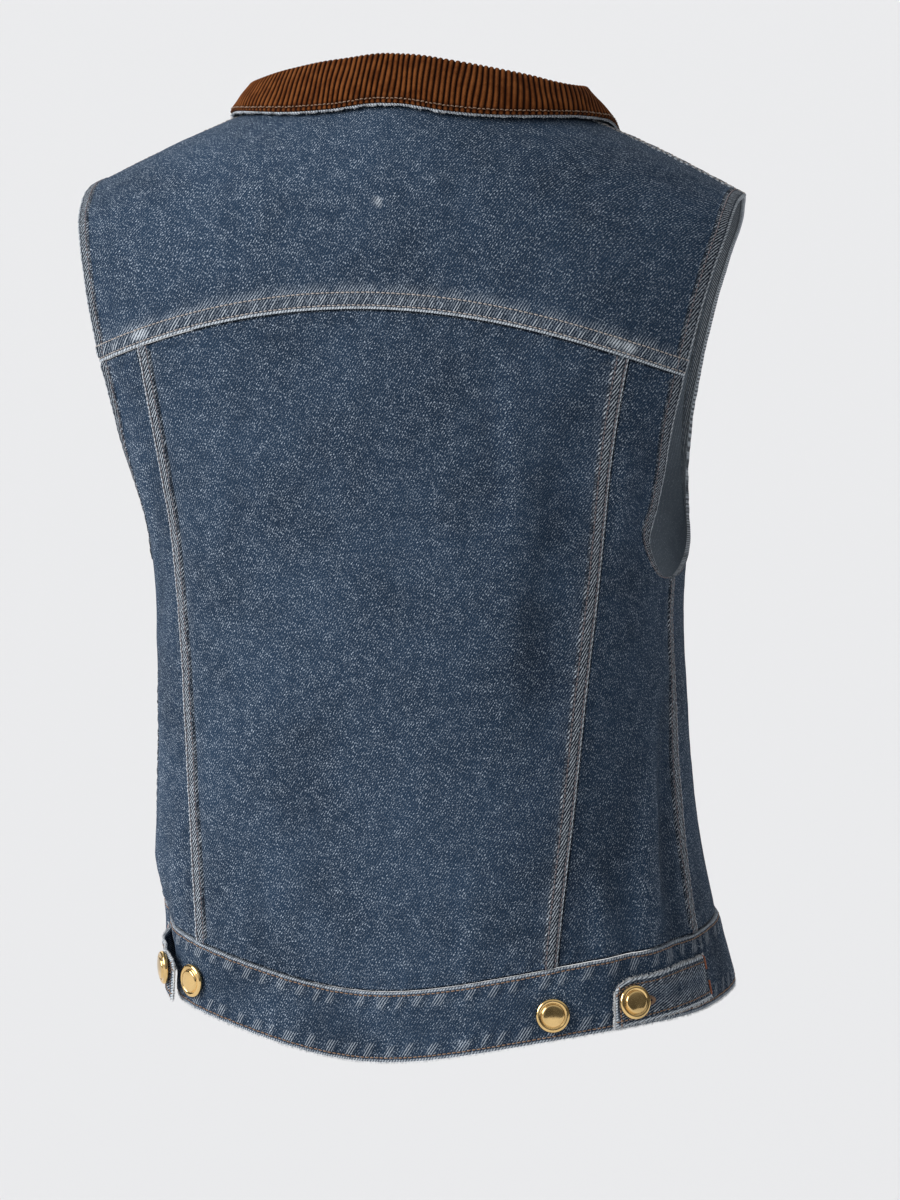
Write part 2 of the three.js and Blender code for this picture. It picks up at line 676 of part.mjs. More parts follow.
// Domed metal buttons, each on the cloth that it fastens
function button(name, place, lift) {
  const profile = BUTTON_PROFILE.map(([radius, up]) => new THREE.Vector2(radius, up));
  const shape = new THREE.LatheGeometry(profile, BUTTON_SIDES);
  const mesh = new THREE.Mesh(shape, new THREE.MeshStandardMaterial(GOLD));
  mesh.name = name;
  mesh.position.copy(raised(place, lift + BUTTON_GAP));
  mesh.quaternion.setFromUnitVectors(new THREE.Vector3(0, 1, 0), outward(place));
  return mesh;
}
for (const [label, at] of Object.entries(TAB_SIDES)) {
  const placeOf = ([turn, up]) => bandPlace(at.side * radians(turn), up);
  vest.add(tab(`tab_${label}`, at));
  vest.add(button(`tab_button_${label}`, placeOf(at.button), tabLift(at, 1) + TAB.cloth));
  vest.add(button(`spare_button_${label}`, placeOf(at.spare), BAND.face));
}
for (let i = 0; i < FRONT_BUTTONS; i += 1) {
  const height = FRONT_BUTTON_TOP - i * FRONT_BUTTON_STEP;
  vest.add(button(`front_button_${i + 1}`, [-Math.PI, height], BAND.edge));
}
vest.add(button("waist_button", bandPlace(-Math.PI, (BAND_TOP - HEM) / 2), BAND.face));

// Collar: a ribbed top layer over a plain under layer, both folded down over the stand
const neckEnd = shareWhere(neckline, (place) => place[0] > Math.PI / 2 && cloth(place).x < COLLAR_END);
const collarEdge = planLine(EDGE_PLAN);
const up = new THREE.Vector3(0, 0, 1);

// The folded profile at a share of the way from centre back to the collar's front end
function collarProfile(signed) {
  const side = signed < 0 ? -1 : 1;
  const along = Math.abs(signed);
  const standColumn = (column) => curve(columnOf(STANDS, STAND.along), columnOf(STANDS, column), along);
  const mirror = (place) => [side * place[0], place[1]];
  const neckPoint = (share) => raised(mirror(neckline(share * neckEnd)), 0);
  const step = 0.004;
  const ahead = neckPoint(Math.min(along + step, 1)).sub(neckPoint(Math.max(along - step, 0)));
  const out = new THREE.Vector3(-side * ahead.y, side * ahead.x, 0).normalize();
  if (along < step) out.set(0, 1, 0);
  const base = neckPoint(along).addScaledVector(up, COLLAR_BASE);
  const fold = base.clone()
    .addScaledVector(out, standColumn(STAND.out))
    .addScaledVector(up, standColumn(STAND.up));
  const edgePlace = mirror(collarEdge(standColumn(STAND.edgeAlong)));
  const edge = raised(edgePlace, EDGE_CLEARANCE);
  const toBase = base.clone().sub(fold).normalize();
  const toEdge = edge.clone().sub(fold).normalize();
  const half = toBase.angleTo(toEdge) / 2;
  const reach = COLLAR_FOLD_RADIUS / Math.tan(half);
  const middle = toBase.clone().add(toEdge).normalize();
  const centre = fold.clone().addScaledVector(middle, COLLAR_FOLD_RADIUS / Math.sin(half));
  const standStop = fold.clone().addScaledVector(toBase, reach);
  const fallStart = fold.clone().addScaledVector(toEdge, reach);
  const faceStand = standStop.clone().sub(centre).normalize();
  const faceFall = fallStart.clone().sub(centre).normalize();
  const arc = [1 / 3, 2 / 3].map((t) => (
    faceStand.clone().multiplyScalar(1 - t).addScaledVector(faceFall, t).normalize()));
  const rows = [[base, faceStand], [standStop, faceStand]];
  for (const face of arc) rows.push([centre.clone().addScaledVector(face, COLLAR_FOLD_RADIUS), face]);
  rows.push([fallStart, faceFall]);
  rows.push([fallStart.clone().lerp(edge, 0.55).addScaledVector(faceFall, 0.8), faceFall]);
  rows.push([edge, faceFall]);
  return { rows, toEdge };
}
const signedShares = (count) => Array.from({ length: count + 1 }, (_, i) => (2 * i) / count - 1);
function layer(profiles, lift, longer) {
  const rowPoints = (row) => profiles.map(({ rows, toEdge }, i) => {
    const [point, face] = rows[row];
    const more = row === rows.length - 1 ? longer : 0;
    return point.clone().addScaledVector(face, lift(i)).addScaledVector(toEdge, more);
  });
  return profiles[0].rows.map((_, row) => rowPoints(row));
}
const plainProfiles = signedShares(COLLAR_COLUMNS).map(collarProfile);
const cordProfiles = signedShares(2 * WALES).map(collarProfile);
vest.add(wall(
  "collar",
  layer(cordProfiles, (i) => (i % 2 ? CORD_PEAK : CORD_VALLEY), 0),
  layer(plainProfiles, () => COLLAR_GAP, 0),
  CORDUROY,
  true,
));
vest.add(wall(
  "undercollar",
  layer(plainProfiles, () => -COLLAR_GAP, UNDERCOLLAR_SHOWS),
  layer(plainProfiles, () => -UNDERCOLLAR, UNDERCOLLAR_SHOWS),
  DENIM,
  true,
));

export default vest;
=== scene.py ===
# %% [markdown]
# # A worn denim vest
# The vest is a hollow garment: denim panels joined by lapped seams, a corduroy collar, a waistband with
# buttoned tabs and gold-coloured buttons. The fixed frame gives each panel as a plain wall. Here every
# panel is laid again on the same form with far more points, so that seams, puckers, stitches, raw
# edges and the twill can be seen. It starts by loading the frame.

# %% Load the fixed frame
import bpy
import numpy as np
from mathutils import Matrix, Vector


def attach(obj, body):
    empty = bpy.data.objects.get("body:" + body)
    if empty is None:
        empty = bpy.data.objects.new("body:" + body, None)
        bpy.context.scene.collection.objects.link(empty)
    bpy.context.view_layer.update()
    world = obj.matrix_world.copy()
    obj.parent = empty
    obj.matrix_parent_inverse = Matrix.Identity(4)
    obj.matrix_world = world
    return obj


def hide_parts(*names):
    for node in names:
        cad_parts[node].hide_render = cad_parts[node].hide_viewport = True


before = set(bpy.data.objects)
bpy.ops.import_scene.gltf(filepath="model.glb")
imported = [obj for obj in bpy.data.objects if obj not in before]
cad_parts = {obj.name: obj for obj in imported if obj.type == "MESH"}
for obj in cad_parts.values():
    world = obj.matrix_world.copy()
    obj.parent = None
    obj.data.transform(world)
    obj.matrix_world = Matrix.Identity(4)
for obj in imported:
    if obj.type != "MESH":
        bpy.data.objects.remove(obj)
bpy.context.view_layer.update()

MM = 0.001

# %% Short words for node trees
class Net:
    """Adds nodes to a tree and joins them: a value that is a socket is linked, any other is set."""

    def __init__(self, tree):
        self.tree = tree

    def feed(self, socket, value):
        if isinstance(value, bpy.types.NodeSocket):
            self.tree.links.new(value, socket)
        else:
            socket.default_value = value

    def add(self, kind, values=(), out=0, **settings):
        node = self.tree.nodes.new(kind)
        for key, value in settings.items():
            setattr(node, key, value)
        for socket, value in dict(values).items():
            self.feed(node.inputs[socket], value)
        return node.outputs[out]

    def math(self, operation, *values, use_clamp=False):
        return self.add("ShaderNodeMath", enumerate(values), operation=operation, use_clamp=use_clamp)

    def times(self, a, b):
        return self.math("MULTIPLY", a, b)

    def plus(self, a, b):
        return self.math("ADD", a, b)

    def ramp(self, value, low, high, start=0.0, end=1.0):
        return self.add("ShaderNodeMapRange", {0: value, 1: low, 2: high, 3: start, 4: end},
                        interpolation_type="SMOOTHSTEP")

    def vector(self, x, y, z=0.0):
        return self.add("ShaderNodeCombineXYZ", {0: x, 1: y, 2: z})

    def noise(self, vector, scale, detail=2.0, rough=0.55):
        settings = {"Vector": vector, "Scale": scale, "Detail": detail, "Roughness": rough}
        return self.add("ShaderNodeTexNoise", settings)

    def blend(self, factor, one, two):
        node = self.tree.nodes.new("ShaderNodeMix")
        node.data_type = "RGBA"
        for socket, value in ((0, factor), (6, one), (7, two)):
            self.feed(node.inputs[socket], value)
        return node.outputs[2]

    def split(self, vector):
        node = self.tree.nodes.new("ShaderNodeSeparateXYZ")
        self.feed(node.inputs[0], vector)
        return node.outputs[0], node.outputs[1], node.outputs[2]

    def attribute(self, name):
        return self.split(self.add("ShaderNodeAttribute", out="Vector", attribute_name=name))


# %% [markdown]
# ## Camera, floor and light
# The vest is seen from behind, slightly from above and from the wearer's right. The camera could be
# aimed by eye, but its place follows from three angles and a scale, so it is worked out: a long lens
# three metres away keeps the panels from spreading. The light is soft and comes from the left of
# the picture, with a weaker fill opposite, over a pale floor.

# %% Set the camera
VIEW_TURN = np.radians(12)
VIEW_RISE = np.radians(9)
VIEW_DISTANCE = 3000
VIEW_AIM = np.array([-20.7, 0, -309])
PIXEL = 0.58
BACK_DEPTH = 125
FRAME_HEIGHT = 1200
SENSOR = 36

sight = np.array([
    np.sin(VIEW_TURN) * np.cos(VIEW_RISE),
    -np.cos(VIEW_TURN) * np.cos(VIEW_RISE),
    -np.sin(VIEW_RISE),
])
camera_data = bpy.data.cameras.new("camera")
camera_data.lens = (VIEW_DISTANCE - BACK_DEPTH) / PIXEL / FRAME_HEIGHT * SENSOR
camera_data.sensor_width = SENSOR
camera_data.clip_end = 50
camera = bpy.data.objects.new("camera", camera_data)
camera.location = (VIEW_AIM - sight * VIEW_DISTANCE) * MM
camera.rotation_mode = "QUATERNION"
camera.rotation_quaternion = Vector(sight).to_track_quat("-Z", "Y")
bpy.context.collection.objects.link(camera)
bpy.context.scene.camera = camera
print("lens", round(camera_data.lens, 1), "mm")

# %% Lay the floor and hang the lamps
FLOOR_Z = -1.05


def lamp(name, way, spread, power, colour=(1, 1, 1)):
    """An even, wide light that comes from the direction way, spread in degrees."""
    data = bpy.data.lights.new(name, "SUN")
    data.angle = np.radians(spread)
    data.energy = power
    data.color = colour
    light = bpy.data.objects.new(name, data)
    light.rotation_mode = "QUATERNION"
    light.rotation_quaternion = (-Vector(way)).to_track_quat("-Z", "Y")
    bpy.context.collection.objects.link(light)
    return light


FLOOR_HALF = 60
floor_mesh = bpy.data.meshes.new("floor")
floor_corners = np.array([[-1, -1, 0], [1, -1, 0], [1, 1, 0], [-1, 1, 0]]) * FLOOR_HALF + [0, 0, FLOOR_Z]
floor_mesh.from_pydata(floor_corners.tolist(), [], [(0, 1, 2, 3)])
floor = bpy.data.objects.new("floor", floor_mesh)
bpy.context.collection.objects.link(floor)
floor_paint = bpy.data.materials.new("floor")
floor_paint.use_nodes = True
floor_paint.node_tree.nodes["Principled BSDF"].inputs["Base Color"].default_value = (0.76, 0.76, 0.77, 1)
floor_paint.node_tree.nodes["Principled BSDF"].inputs["Roughness"].default_value = 0.9
floor_mesh.materials.append(floor_paint)

WORLD_SEEN = 0.80
WORLD_DARK = 0.06
WORLD_OVERHEAD = 0.45
WORLD_PANEL = 0.55
PANEL_WAY = Vector((0.42, 0.88, 0.22)).normalized()

world = bpy.data.worlds.new("studio")
bpy.context.scene.world = world
world.use_nodes = True
sky = Net(world.node_tree)
way = sky.add("ShaderNodeTexCoord", out="Generated")


def sky_lobe(towards, start, full, strength):
    """Brightness that rises where the direction comes within a cone about towards."""
    near = sky.add("ShaderNodeVectorMath", {0: way, 1: towards}, out="Value", operation="DOT_PRODUCT")
    return sky.ramp(near, start, full, 0.0, strength)


overhead = sky_lobe((0, 0, 1), 0.25, 0.75, WORLD_OVERHEAD)
panel = sky_lobe(PANEL_WAY, 0.84, 0.93, WORLD_PANEL)
light_strength = sky.plus(sky.plus(overhead, panel), WORLD_DARK)
seen = sky.add("ShaderNodeLightPath", out="Is Camera Ray")
background = sky.tree.nodes["Background"].inputs
sky.feed(background["Strength"], sky.add("ShaderNodeMix", {0: seen, 2: light_strength, 3: WORLD_SEEN}))
sky.feed(background["Color"], (0.98, 0.99, 1, 1))
lamp("key", (2.3, 1.35, 1.6), 38, 3.3)
lamp("fill", (-2.2, 1.2, 0.6), 80, 0.05)
lamp("front", (0.6, -2.6, 1.4), 60, 0.8)
bpy.context.scene.view_settings.view_transform = "Standard"

# %% [markdown]
# ## The form under the cloth
# A worn vest could be draped by simulation, but its cut already says where the cloth goes: rings round
# the body, rounded over to the shoulder line at the top, with the hips shifted and turned a little.
# A place on the cloth is two numbers, its turn from centre back and its unrolled height, and one
# function gives the point. Everything that follows is laid on that function.

# %% Rings of the body
BAND_TOP = -521
HEM = -563
UNDERARM = -287
HEM_RISE = 24
HEM_RISE_TURN = np.radians(70)
RING_Z, RING_HALF, RING_BACK, RING_FRONT, RING_MIDDLE = range(5)
RINGS = np.array([
    [-563, 186, 127, 124, 10],
    [-520, 177, 126, 122, 9],
    [-498, 172, 127, 122, 9],
    [-440, 165, 126, 120, 7],
    [-360, 160, 124, 122, 4],
    [-300, 158, 123, 127, 2],
    [-250, 166, 122, 129, 0],
    [-200, 188, 122, 127, 0],
    [-140, 210, 122, 122, 0],
    [-80, 224, 121, 114, 0],
    [-20, 230, 120, 110, 0],
    [60, 232, 120, 110, 0],
], float)
RING_POWER = 2.5
CAP_BACK = (150, 2.6)
CAP_FRONT = (170, 2.05)
HIP_SHIFT = 18
HIP_TURN = np.radians(-9)
FRONT_LAP = 3.5
LAP_FROM = np.radians(140)
LAP_FULL = np.radians(167)


def mix(a, b, t):
    """a where t is 0, b where t is 1."""
    return a + (b - a) * t


def smooth(t):
    """Rises softly from 0 to 1 as t does."""
    t = np.clip(t, 0, 1)
    return t * t * (3 - 2 * t)


def curve(xs, ys, x):
    """Smooth line through the points (xs, ys): a cubic between neighbours, sloped as their chords are."""
    xs, ys = np.asarray(xs, float), np.asarray(ys, float)
    x = np.clip(x, xs[0], xs[-1])
    slopes = np.empty_like(ys)
    slopes[1:-1] = (ys[2:] - ys[:-2]) / (xs[2:] - xs[:-2])
    slopes[0] = (ys[1] - ys[0]) / (xs[1] - xs[0])
    slopes[-1] = (ys[-1] - ys[-2]) / (xs[-1] - xs[-2])
    i = np.clip(np.searchsorted(xs, x, side="right") - 1, 0, len(xs) - 2)
    width = xs[i + 1] - xs[i]
    t = (x - xs[i]) / width
    rest = 1 - t
    return ((1 + 2 * t) * rest ** 2 * ys[i] + t * rest ** 2 * width * slopes[i]
            + t ** 2 * (3 - 2 * t) * ys[i + 1] - t ** 2 * rest * width * slopes[i + 1])


def ring_at(height, column):
    """One size of the body ring at a height."""
    return curve(RINGS[:, RING_Z], RINGS[:, column], height)


def crest(x):
    """Height of the shoulder line, x to the side of the neck's middle."""
    return 12 - 0.3 * (np.hypot(x, 30) - 30) - 0.00058 * x * x


def hem_rise(turn):
    """How far the hem climbs from centre back to the sides."""
    return HEM_RISE * np.sin(np.pi / 2 * np.clip(np.abs(turn) / HEM_RISE_TURN, 0, 1)) ** 2


def lap_lift(turn):
    """The right front lies over the left one."""
    return FRONT_LAP * smooth((-turn - LAP_FROM) / (LAP_FULL - LAP_FROM))


# %% [markdown]
# The folds come from how the vest is worn: a long soft trough beside the right back seam, bulges under
# the arms, and fainter dents in the back. They could be sculpted, but a row each in a table is easy
# to move: where the fold starts and ends, how wide it is and how deep. The first rows are the
# large ones that the frame has too, and the rest are small creases.

# %% Folds and creases
FOLD_TOP_TURN, FOLD_TOP, FOLD_BOTTOM_TURN, FOLD_BOTTOM, FOLD_HALF, FOLD_DEPTH = range(6)
FOLDS = np.array([
    [-47, -150, -41, -400, 17, -3.5],
    [-70, -385, -64, -525, 15, 4.5],
    [-79, -340, -74, -520, 13, -6.5],
    [62, -190, 64, -300, 12, 3.0],
    [74, -330, 70, -520, 14, -5.5],
    [-10, -190, -6, -330, 22, -1.6],
    [18, -330, 14, -500, 26, -1.8],
    [-100, -300, -104, -500, 14, -6.0],
    [101, -310, 98, -490, 15, -5.0],
    [-128, -230, -122, -430, 22, 3.0],
    [126, -210, 131, -400, 20, -3.0],
    [70, -466, 72, -650, 44, -30],
    [-54, -430, -57, -535, 6, 1.6],
    [-60, -445, -63, -530, 5, -1.4],
    [-49, -455, -47, -520, 5, -1.0],
    [-28, -440, -25, -530, 9, 0.9],
    [30, -430, 27, -530, 8, -0.9],
    [52, -420, 57, -530, 6, 1.2],
    [58, -215, 66, -330, 5, -1.1],
    [-57, -170, -60, -300, 6, 1.1],
    [-34, -130, -36, -260, 9, 1.0],
    [33, -140, 37, -290, 10, -0.9],
    [5, -140, 9, -250, 14, 0.7],
    [-18, -30, -26, -115, 14, -0.8],
    [34, -20, 30, -110, 13, 0.8],
    [112, -420, 116, -530, 7, 1.5],
    [-117, -430, -112, -530, 8, -1.4],
    [146, -300, 143, -480, 14, 1.2],
    [-150, -260, -146, -420, 13, -1.1],
], float)


def fold_depth(turn, height):
    """Sum over the folds of depth, faded to both ends, times a bell curve across the fold."""
    depth = np.zeros(np.broadcast(turn, height).shape)
    half = ring_at(height, RING_HALF)
    for row in FOLDS:
        along = np.clip((row[FOLD_TOP] - height) / (row[FOLD_TOP] - row[FOLD_BOTTOM]), 0, 1)
        line = np.radians(mix(row[FOLD_TOP_TURN], row[FOLD_BOTTOM_TURN], along))
        aside = (turn - line) * half / row[FOLD_HALF]
        depth += row[FOLD_DEPTH] * np.sin(np.pi * along) ** 1.3 * np.exp(-aside ** 2)
    return depth


def cloth(place):
    """Ring radius at the turn plus the folds, bent over the cap near the top, then shifted and turned at
    the hips. A place is (turn, unrolled height)."""
    turn, height = place[..., 0], place[..., 1]
    front = np.abs(turn) > np.pi / 2
    cap_height = np.where(front, CAP_FRONT[0], CAP_BACK[0])
    cap_power = np.where(front, CAP_FRONT[1], CAP_BACK[1])
    across = np.abs(np.sin(turn)) / ring_at(height, RING_HALF)
    deep = np.abs(np.cos(turn)) / np.where(front, ring_at(height, RING_FRONT), ring_at(height, RING_BACK))
    radius = (across ** RING_POWER + deep ** RING_POWER) ** (-1 / RING_POWER) + fold_depth(turn, height)
    x = radius * np.sin(turn)
    y = ring_at(height, RING_MIDDLE) + radius * np.cos(turn)
    foot = crest(x) - cap_height
    bend = np.maximum((height - foot) / cap_height, 0)
    reach = (np.abs(np.cos(bend)) ** cap_power + np.abs(np.sin(bend)) ** cap_power) ** (-1 / cap_power)
    z = np.where(bend > 0, foot + cap_height * reach * np.sin(bend), height)
    y = y * np.where(bend > 0, reach * np.cos(bend), 1)
    down = np.clip(z / HEM, 0, 1.1) ** 3
    twist = HIP_TURN * down
    return np.stack([
        x * np.cos(twist) - y * np.sin(twist) - HIP_SHIFT * down,
        x * np.sin(twist) + y * np.cos(twist),
        z,
    ], -1)


def unit(vectors):
    """The same directions with length one."""
    return vectors / np.maximum(np.linalg.norm(vectors, axis=-1, keepdims=True), 1e-12)


def outward(place):
    """Cross product of the cloth's slopes along its height and its turn."""
    turn_step = np.array([0.004, 0])
    height_step = np.array([0, 0.6])
    along_turn = cloth(place + turn_step) - cloth(place - turn_step)
    along_height = cloth(place + height_step) - cloth(place - height_step)
    return unit(np.cross(along_height, along_turn))


def raised(place, lift):
    """Cloth point moved out by lift, and by the front's lap."""
    lift = np.broadcast_to(lift, place.shape[:-1]) + lap_lift(place[..., 0])
    return cloth(place) + outward(place) * lift[..., None]


print("chest depth", round(float(cloth(np.array([0, -300.]))[1] - cloth(np.array([np.pi, -300.]))[1])), "mm")

# %% [markdown]
# ## Seam lines
# The seams are lines on that form. Armholes and the princess seams are given by where they pass, x to
# the side and z up, the neckline and the collar's edge in plan. Two lines meet at named corners, and
# the panels between them share those corners, so neighbours fit with a gap of three tenths.

# %% Places on the cloth
SEAM = 0.15


def turn_at(x, height, front):
    """Turn of the point x to the side, from the ring's own equation."""
    ratio = np.minimum(np.abs(x) / ring_at(height, RING_HALF), 1)
    depth = np.where(front, ring_at(height, RING_FRONT), ring_at(height, RING_BACK))
    y = depth * (1 - ratio ** RING_POWER) ** (1 / RING_POWER)
    return np.arctan2(x, np.where(front, -y, y))


def place_at_bend(x, bend, front):
    """Place whose cap has bent by an angle."""
    cap_height = np.where(front, CAP_FRONT[0], CAP_BACK[0])
    height = crest(x) - cap_height + cap_height * bend
    return np.stack(np.broadcast_arrays(turn_at(x, height, front), height), -1)


def place_at_height(x, z, front):
    """Place of the point at x and z, undoing the cap's bend where z lies in it."""
    x, z = np.broadcast_arrays(np.asarray(x, float), np.asarray(z, float))
    cap_height, cap_power = CAP_FRONT if front else CAP_BACK
    foot = crest(x) - cap_height
    rise = np.clip((z - foot) / cap_height, 0, 1)
    bend = np.arctan2(rise, (1 - rise ** cap_power) ** (1 / cap_power))
    height = np.where(z > foot, foot + cap_height * bend, z)
    return np.stack([turn_at(x, height, front), height], -1)


def place_in_plan(x, y):
    """Place above (x, y), found by halving the bend's range forty times."""
    x, y = np.broadcast_arrays(np.asarray(x, float), np.asarray(y, float))
    front = y < 0
    low, high = np.zeros(x.shape), np.full(x.shape, np.pi / 2)
    for _ in range(40):
        middle = (low + high) / 2
        far = np.abs(cloth(place_at_bend(x, middle, front))[..., 1]) > np.abs(y)
        low, high = np.where(far, middle, low), np.where(far, high, middle)
    return place_at_bend(x, high, front)


def crest_place(x, front):
    """Place on the shoulder line."""
    return place_at_bend(np.asarray(x, float), np.pi / 2, front)


def line_through(places):
    """Smooth line through places, by its share of the length."""
    places = np.array(places, float)
    run = np.concatenate([[0], np.cumsum(np.linalg.norm(np.diff(cloth(places), axis=0), axis=1))])

    def line(share):
        spot = np.asarray(share) * run[-1]
        return np.stack([curve(run, places[:, 0], spot), curve(run, places[:, 1], spot)], -1)
    return line


def plan_line(spots):
    """Smooth line through spots of the plan, by its share of the length."""
    spots = np.array(spots, float)
    run = np.concatenate([[0], np.cumsum(np.linalg.norm(np.diff(spots, axis=0), axis=1))])

    def line(share):
        spot = np.asarray(share) * run[-1]
        return place_in_plan(curve(run, spots[:, 0], spot), curve(run, spots[:, 1], spot))
    return line


def share_where(line, test):
    """Share of a line where a test of its place first changes."""
    low, high = 0.0, 1.0
    for _ in range(40):
        middle = (low + high) / 2
        low, high = (low, middle) if test(line(middle)) else (middle, high)
    return high


# %% Neck, armhole and seam lines
NECK_HALF = 87
TIP_HALF = 199
NECK_PLAN = [
    [0, 52], [30, 49], [58, 37], [78, 18], [87, 0],
    [86, -20], [76, -46], [58, -66], [36, -80], [16, -87], [0, -89],
]
ARM_BACK = [[196, -78], [190, -100], [182, -132], [174, -166], [166, -200], [157, -240], [152, -262]]
ARM_FRONT = [[155, -263], [151, -238], [152, -208], [158, -175], [168, -138], [181, -103], [192, -78]]
ARM_BOTTOM_BACK = (76, -283)
ARM_BOTTOM_FRONT = (94, -282)
SIDE_TURN = np.radians(84)
YOKE_Z = -121
YOKE_ARCH = 0.0013
PRINCESS = np.array([
    [-521, 112], [-470, 114], [-410, 118], [-350, 122], [-290, 127], [-240, 132], [-190, 139], [-140, 148]])
FRONT_BAND = 36

neckline = plan_line(NECK_PLAN)
neck_back = line_through(
    [place_in_plan(x, y) for x, y in NECK_PLAN if y > 0] + [crest_place(NECK_HALF, False)])
neck_front = line_through(
    [crest_place(NECK_HALF, True)] + [place_in_plan(x, y) for x, y in NECK_PLAN if y < 0])
arm_bottom = (SIDE_TURN, UNDERARM)
arm_back = line_through(
    [crest_place(TIP_HALF, False)] + [place_at_height(x, z, False) for x, z in ARM_BACK]
    + [(np.radians(ARM_BOTTOM_BACK[0]), ARM_BOTTOM_BACK[1]), arm_bottom])
arm_front = line_through(
    [arm_bottom, (np.radians(ARM_BOTTOM_FRONT[0]), ARM_BOTTOM_FRONT[1])]
    + [place_at_height(x, z, True) for x, z in ARM_FRONT] + [crest_place(TIP_HALF, True)])


def yoke_z(x):
    """The yoke's lower seam is an arch, highest at centre back."""
    return YOKE_Z - YOKE_ARCH * x * x


def yoke_seam(x):
    """Place on the yoke's lower seam."""
    return place_at_height(x, yoke_z(np.asarray(x, float)), False)


def waist_seam(turn):
    """Place on the seam between body and waistband."""
    turn = np.asarray(turn, float)
    return np.stack([turn, BAND_TOP + hem_rise(turn)], -1)


def princess_x(z):
    """How far to the side the long back seam runs at a height."""
    return curve(PRINCESS[:, 0], PRINCESS[:, 1], z)


def princess(z):
    """Place on the long back seam."""
    return place_at_height(princess_x(z), z, False)


yoke_at_arm = share_where(arm_back, lambda place: cloth(place)[2] < yoke_z(cloth(place)[0]))
yoke_half = float(cloth(arm_back(yoke_at_arm))[0])
princess_top, princess_foot = -148.0, float(BAND_TOP)
for _ in range(20):
    princess_top = float(yoke_z(princess_x(princess_top)))
    princess_foot = float(waist_seam(princess(princess_foot)[0])[1])
princess_half = float(princess_x(princess_top))
princess_turn = float(princess(princess_foot)[0])
print("yoke width", round(2 * yoke_half), "mm, long seams", round(2 * princess_half), "mm apart at the top")

# %% [markdown]
# ## Laying a panel
# A cut panel has four borders. The place inside it, at shares u across and v up, is a Coons patch:
# the blend of the side borders plus the blend of the end borders, less the blend of the corners.
# Columns and rows are set by distance, close together near the seams, where folds of cloth lie on
# each other, and wider in the field. Each point also keeps its distance to the four borders.

# %% Patches and their steps
SAMPLES = np.linspace(0, 1, 121)
NEAR = np.array([SEAM, 0.7, 1.4, 2.2, 3.2, 4.4, 5.8, 7.2, 8.2, 9.0, 10.0, 11.2, 12.8, 15.0])


def patch(left, right, bottom, top):
    """Coons patch between four border lines."""
    corners = [bottom(0.0), bottom(1.0), top(0.0), top(1.0)]

    def within(u, v):
        u, v = np.broadcast_arrays(np.asarray(u, float), np.asarray(v, float))
        along, rise = u[..., None], v[..., None]
        return (mix(left(v), right(v), along) + mix(bottom(u), top(u), rise)
                - mix(mix(corners[0], corners[1], along), mix(corners[2], corners[3], along), rise))
    return within


def shares(places, first, last, between):
    """Shares of a sampled line at set distances from both ends, squeezed where the line is short."""
    run = np.concatenate([[0], np.cumsum(np.linalg.norm(np.diff(cloth(places), axis=0), axis=1))])
    squeeze = min(1, 0.8 * run[-1] / (first[-1] + last[-1]))
    head, tail = first * squeeze, run[-1] - last[::-1] * squeeze
    spots = np.concatenate([head, np.linspace(head[-1], tail[0], between + 1)[1:-1], tail])
    return np.interp(spots, run, SAMPLES)


def levels(length, *stops):
    """Shares from 0 to 1: close steps by distance at both ends, even steps to the stops between."""
    marks = [NEAR / length]
    start = NEAR[-1] / length
    for stop, count in stops:
        end = stop if stop < 1 else 1 - NEAR[-1] / length
        marks.append(np.linspace(start, end, count + 1)[1:])
        start = end
    marks.append(1 - NEAR[-2::-1] / length)
    return np.concatenate(marks)


def reach_of(points, axis):
    """Distances along rows or columns from their first and from their last point."""
    steps = np.linalg.norm(np.diff(points, axis=axis), axis=-1)
    zero = np.zeros_like(np.take(steps, [0], axis))
    run = np.concatenate([zero, np.cumsum(steps, axis)], axis) + SEAM
    return run, np.take(run, [-1], axis) + SEAM - run


def lay(within, level, first, last, between, side=1, upright=False):
    """Grid of places whose steps along each level are set by distance. Upright sets them up the panel."""
    turned = (lambda u, v: within(v, u)) if upright else within
    steps = np.stack([shares(turned(SAMPLES, v), first, last, between) for v in level])
    places = turned(steps, level[:, None])
    if upright:
        places = places.transpose(1, 0, 2)
    places = places * [side, 1]
    points = cloth(places)
    left, right = reach_of(points, 1)
    low, high = reach_of(points, 0)
    return {"places": places, "low": low, "high": high, "left": left, "right": right, "hand": side}


# %% Unrolled coordinates for the weave
turn_grid = np.radians(np.linspace(0, 200, 401))
height_grid = np.linspace(-570, 240, 82)
ring_points = cloth(np.stack(np.meshgrid(turn_grid, height_grid), -1))
ring_steps = np.linalg.norm(np.diff(ring_points[..., :2], axis=1), axis=-1)
ring_run = np.concatenate([np.zeros((len(height_grid), 1)), np.cumsum(ring_steps, 1)], 1)


def unrolled(places):
    """Distance round the body from centre back and height, so the weave runs straight down each panel."""
    turn, height = np.abs(places[..., 0]), np.minimum(places[..., 1], -250)
    i = np.clip((height - height_grid[0]) / (height_grid[1] - height_grid[0]), 0, len(height_grid) - 1.001)
    k = np.clip(turn / turn_grid[1], 0, len(turn_grid) - 1.001)
    i0, k0 = i.astype(int), k.astype(int)
    up_part, turn_part = i - i0, k - k0
    low = mix(ring_run[i0, k0], ring_run[i0, k0 + 1], turn_part)
    high = mix(ring_run[i0 + 1, k0], ring_run[i0 + 1, k0 + 1], turn_part)
    across = mix(low, high, up_part)
    return np.stack([np.sign(places[..., 0]) * across, places[..., 1]], -1)


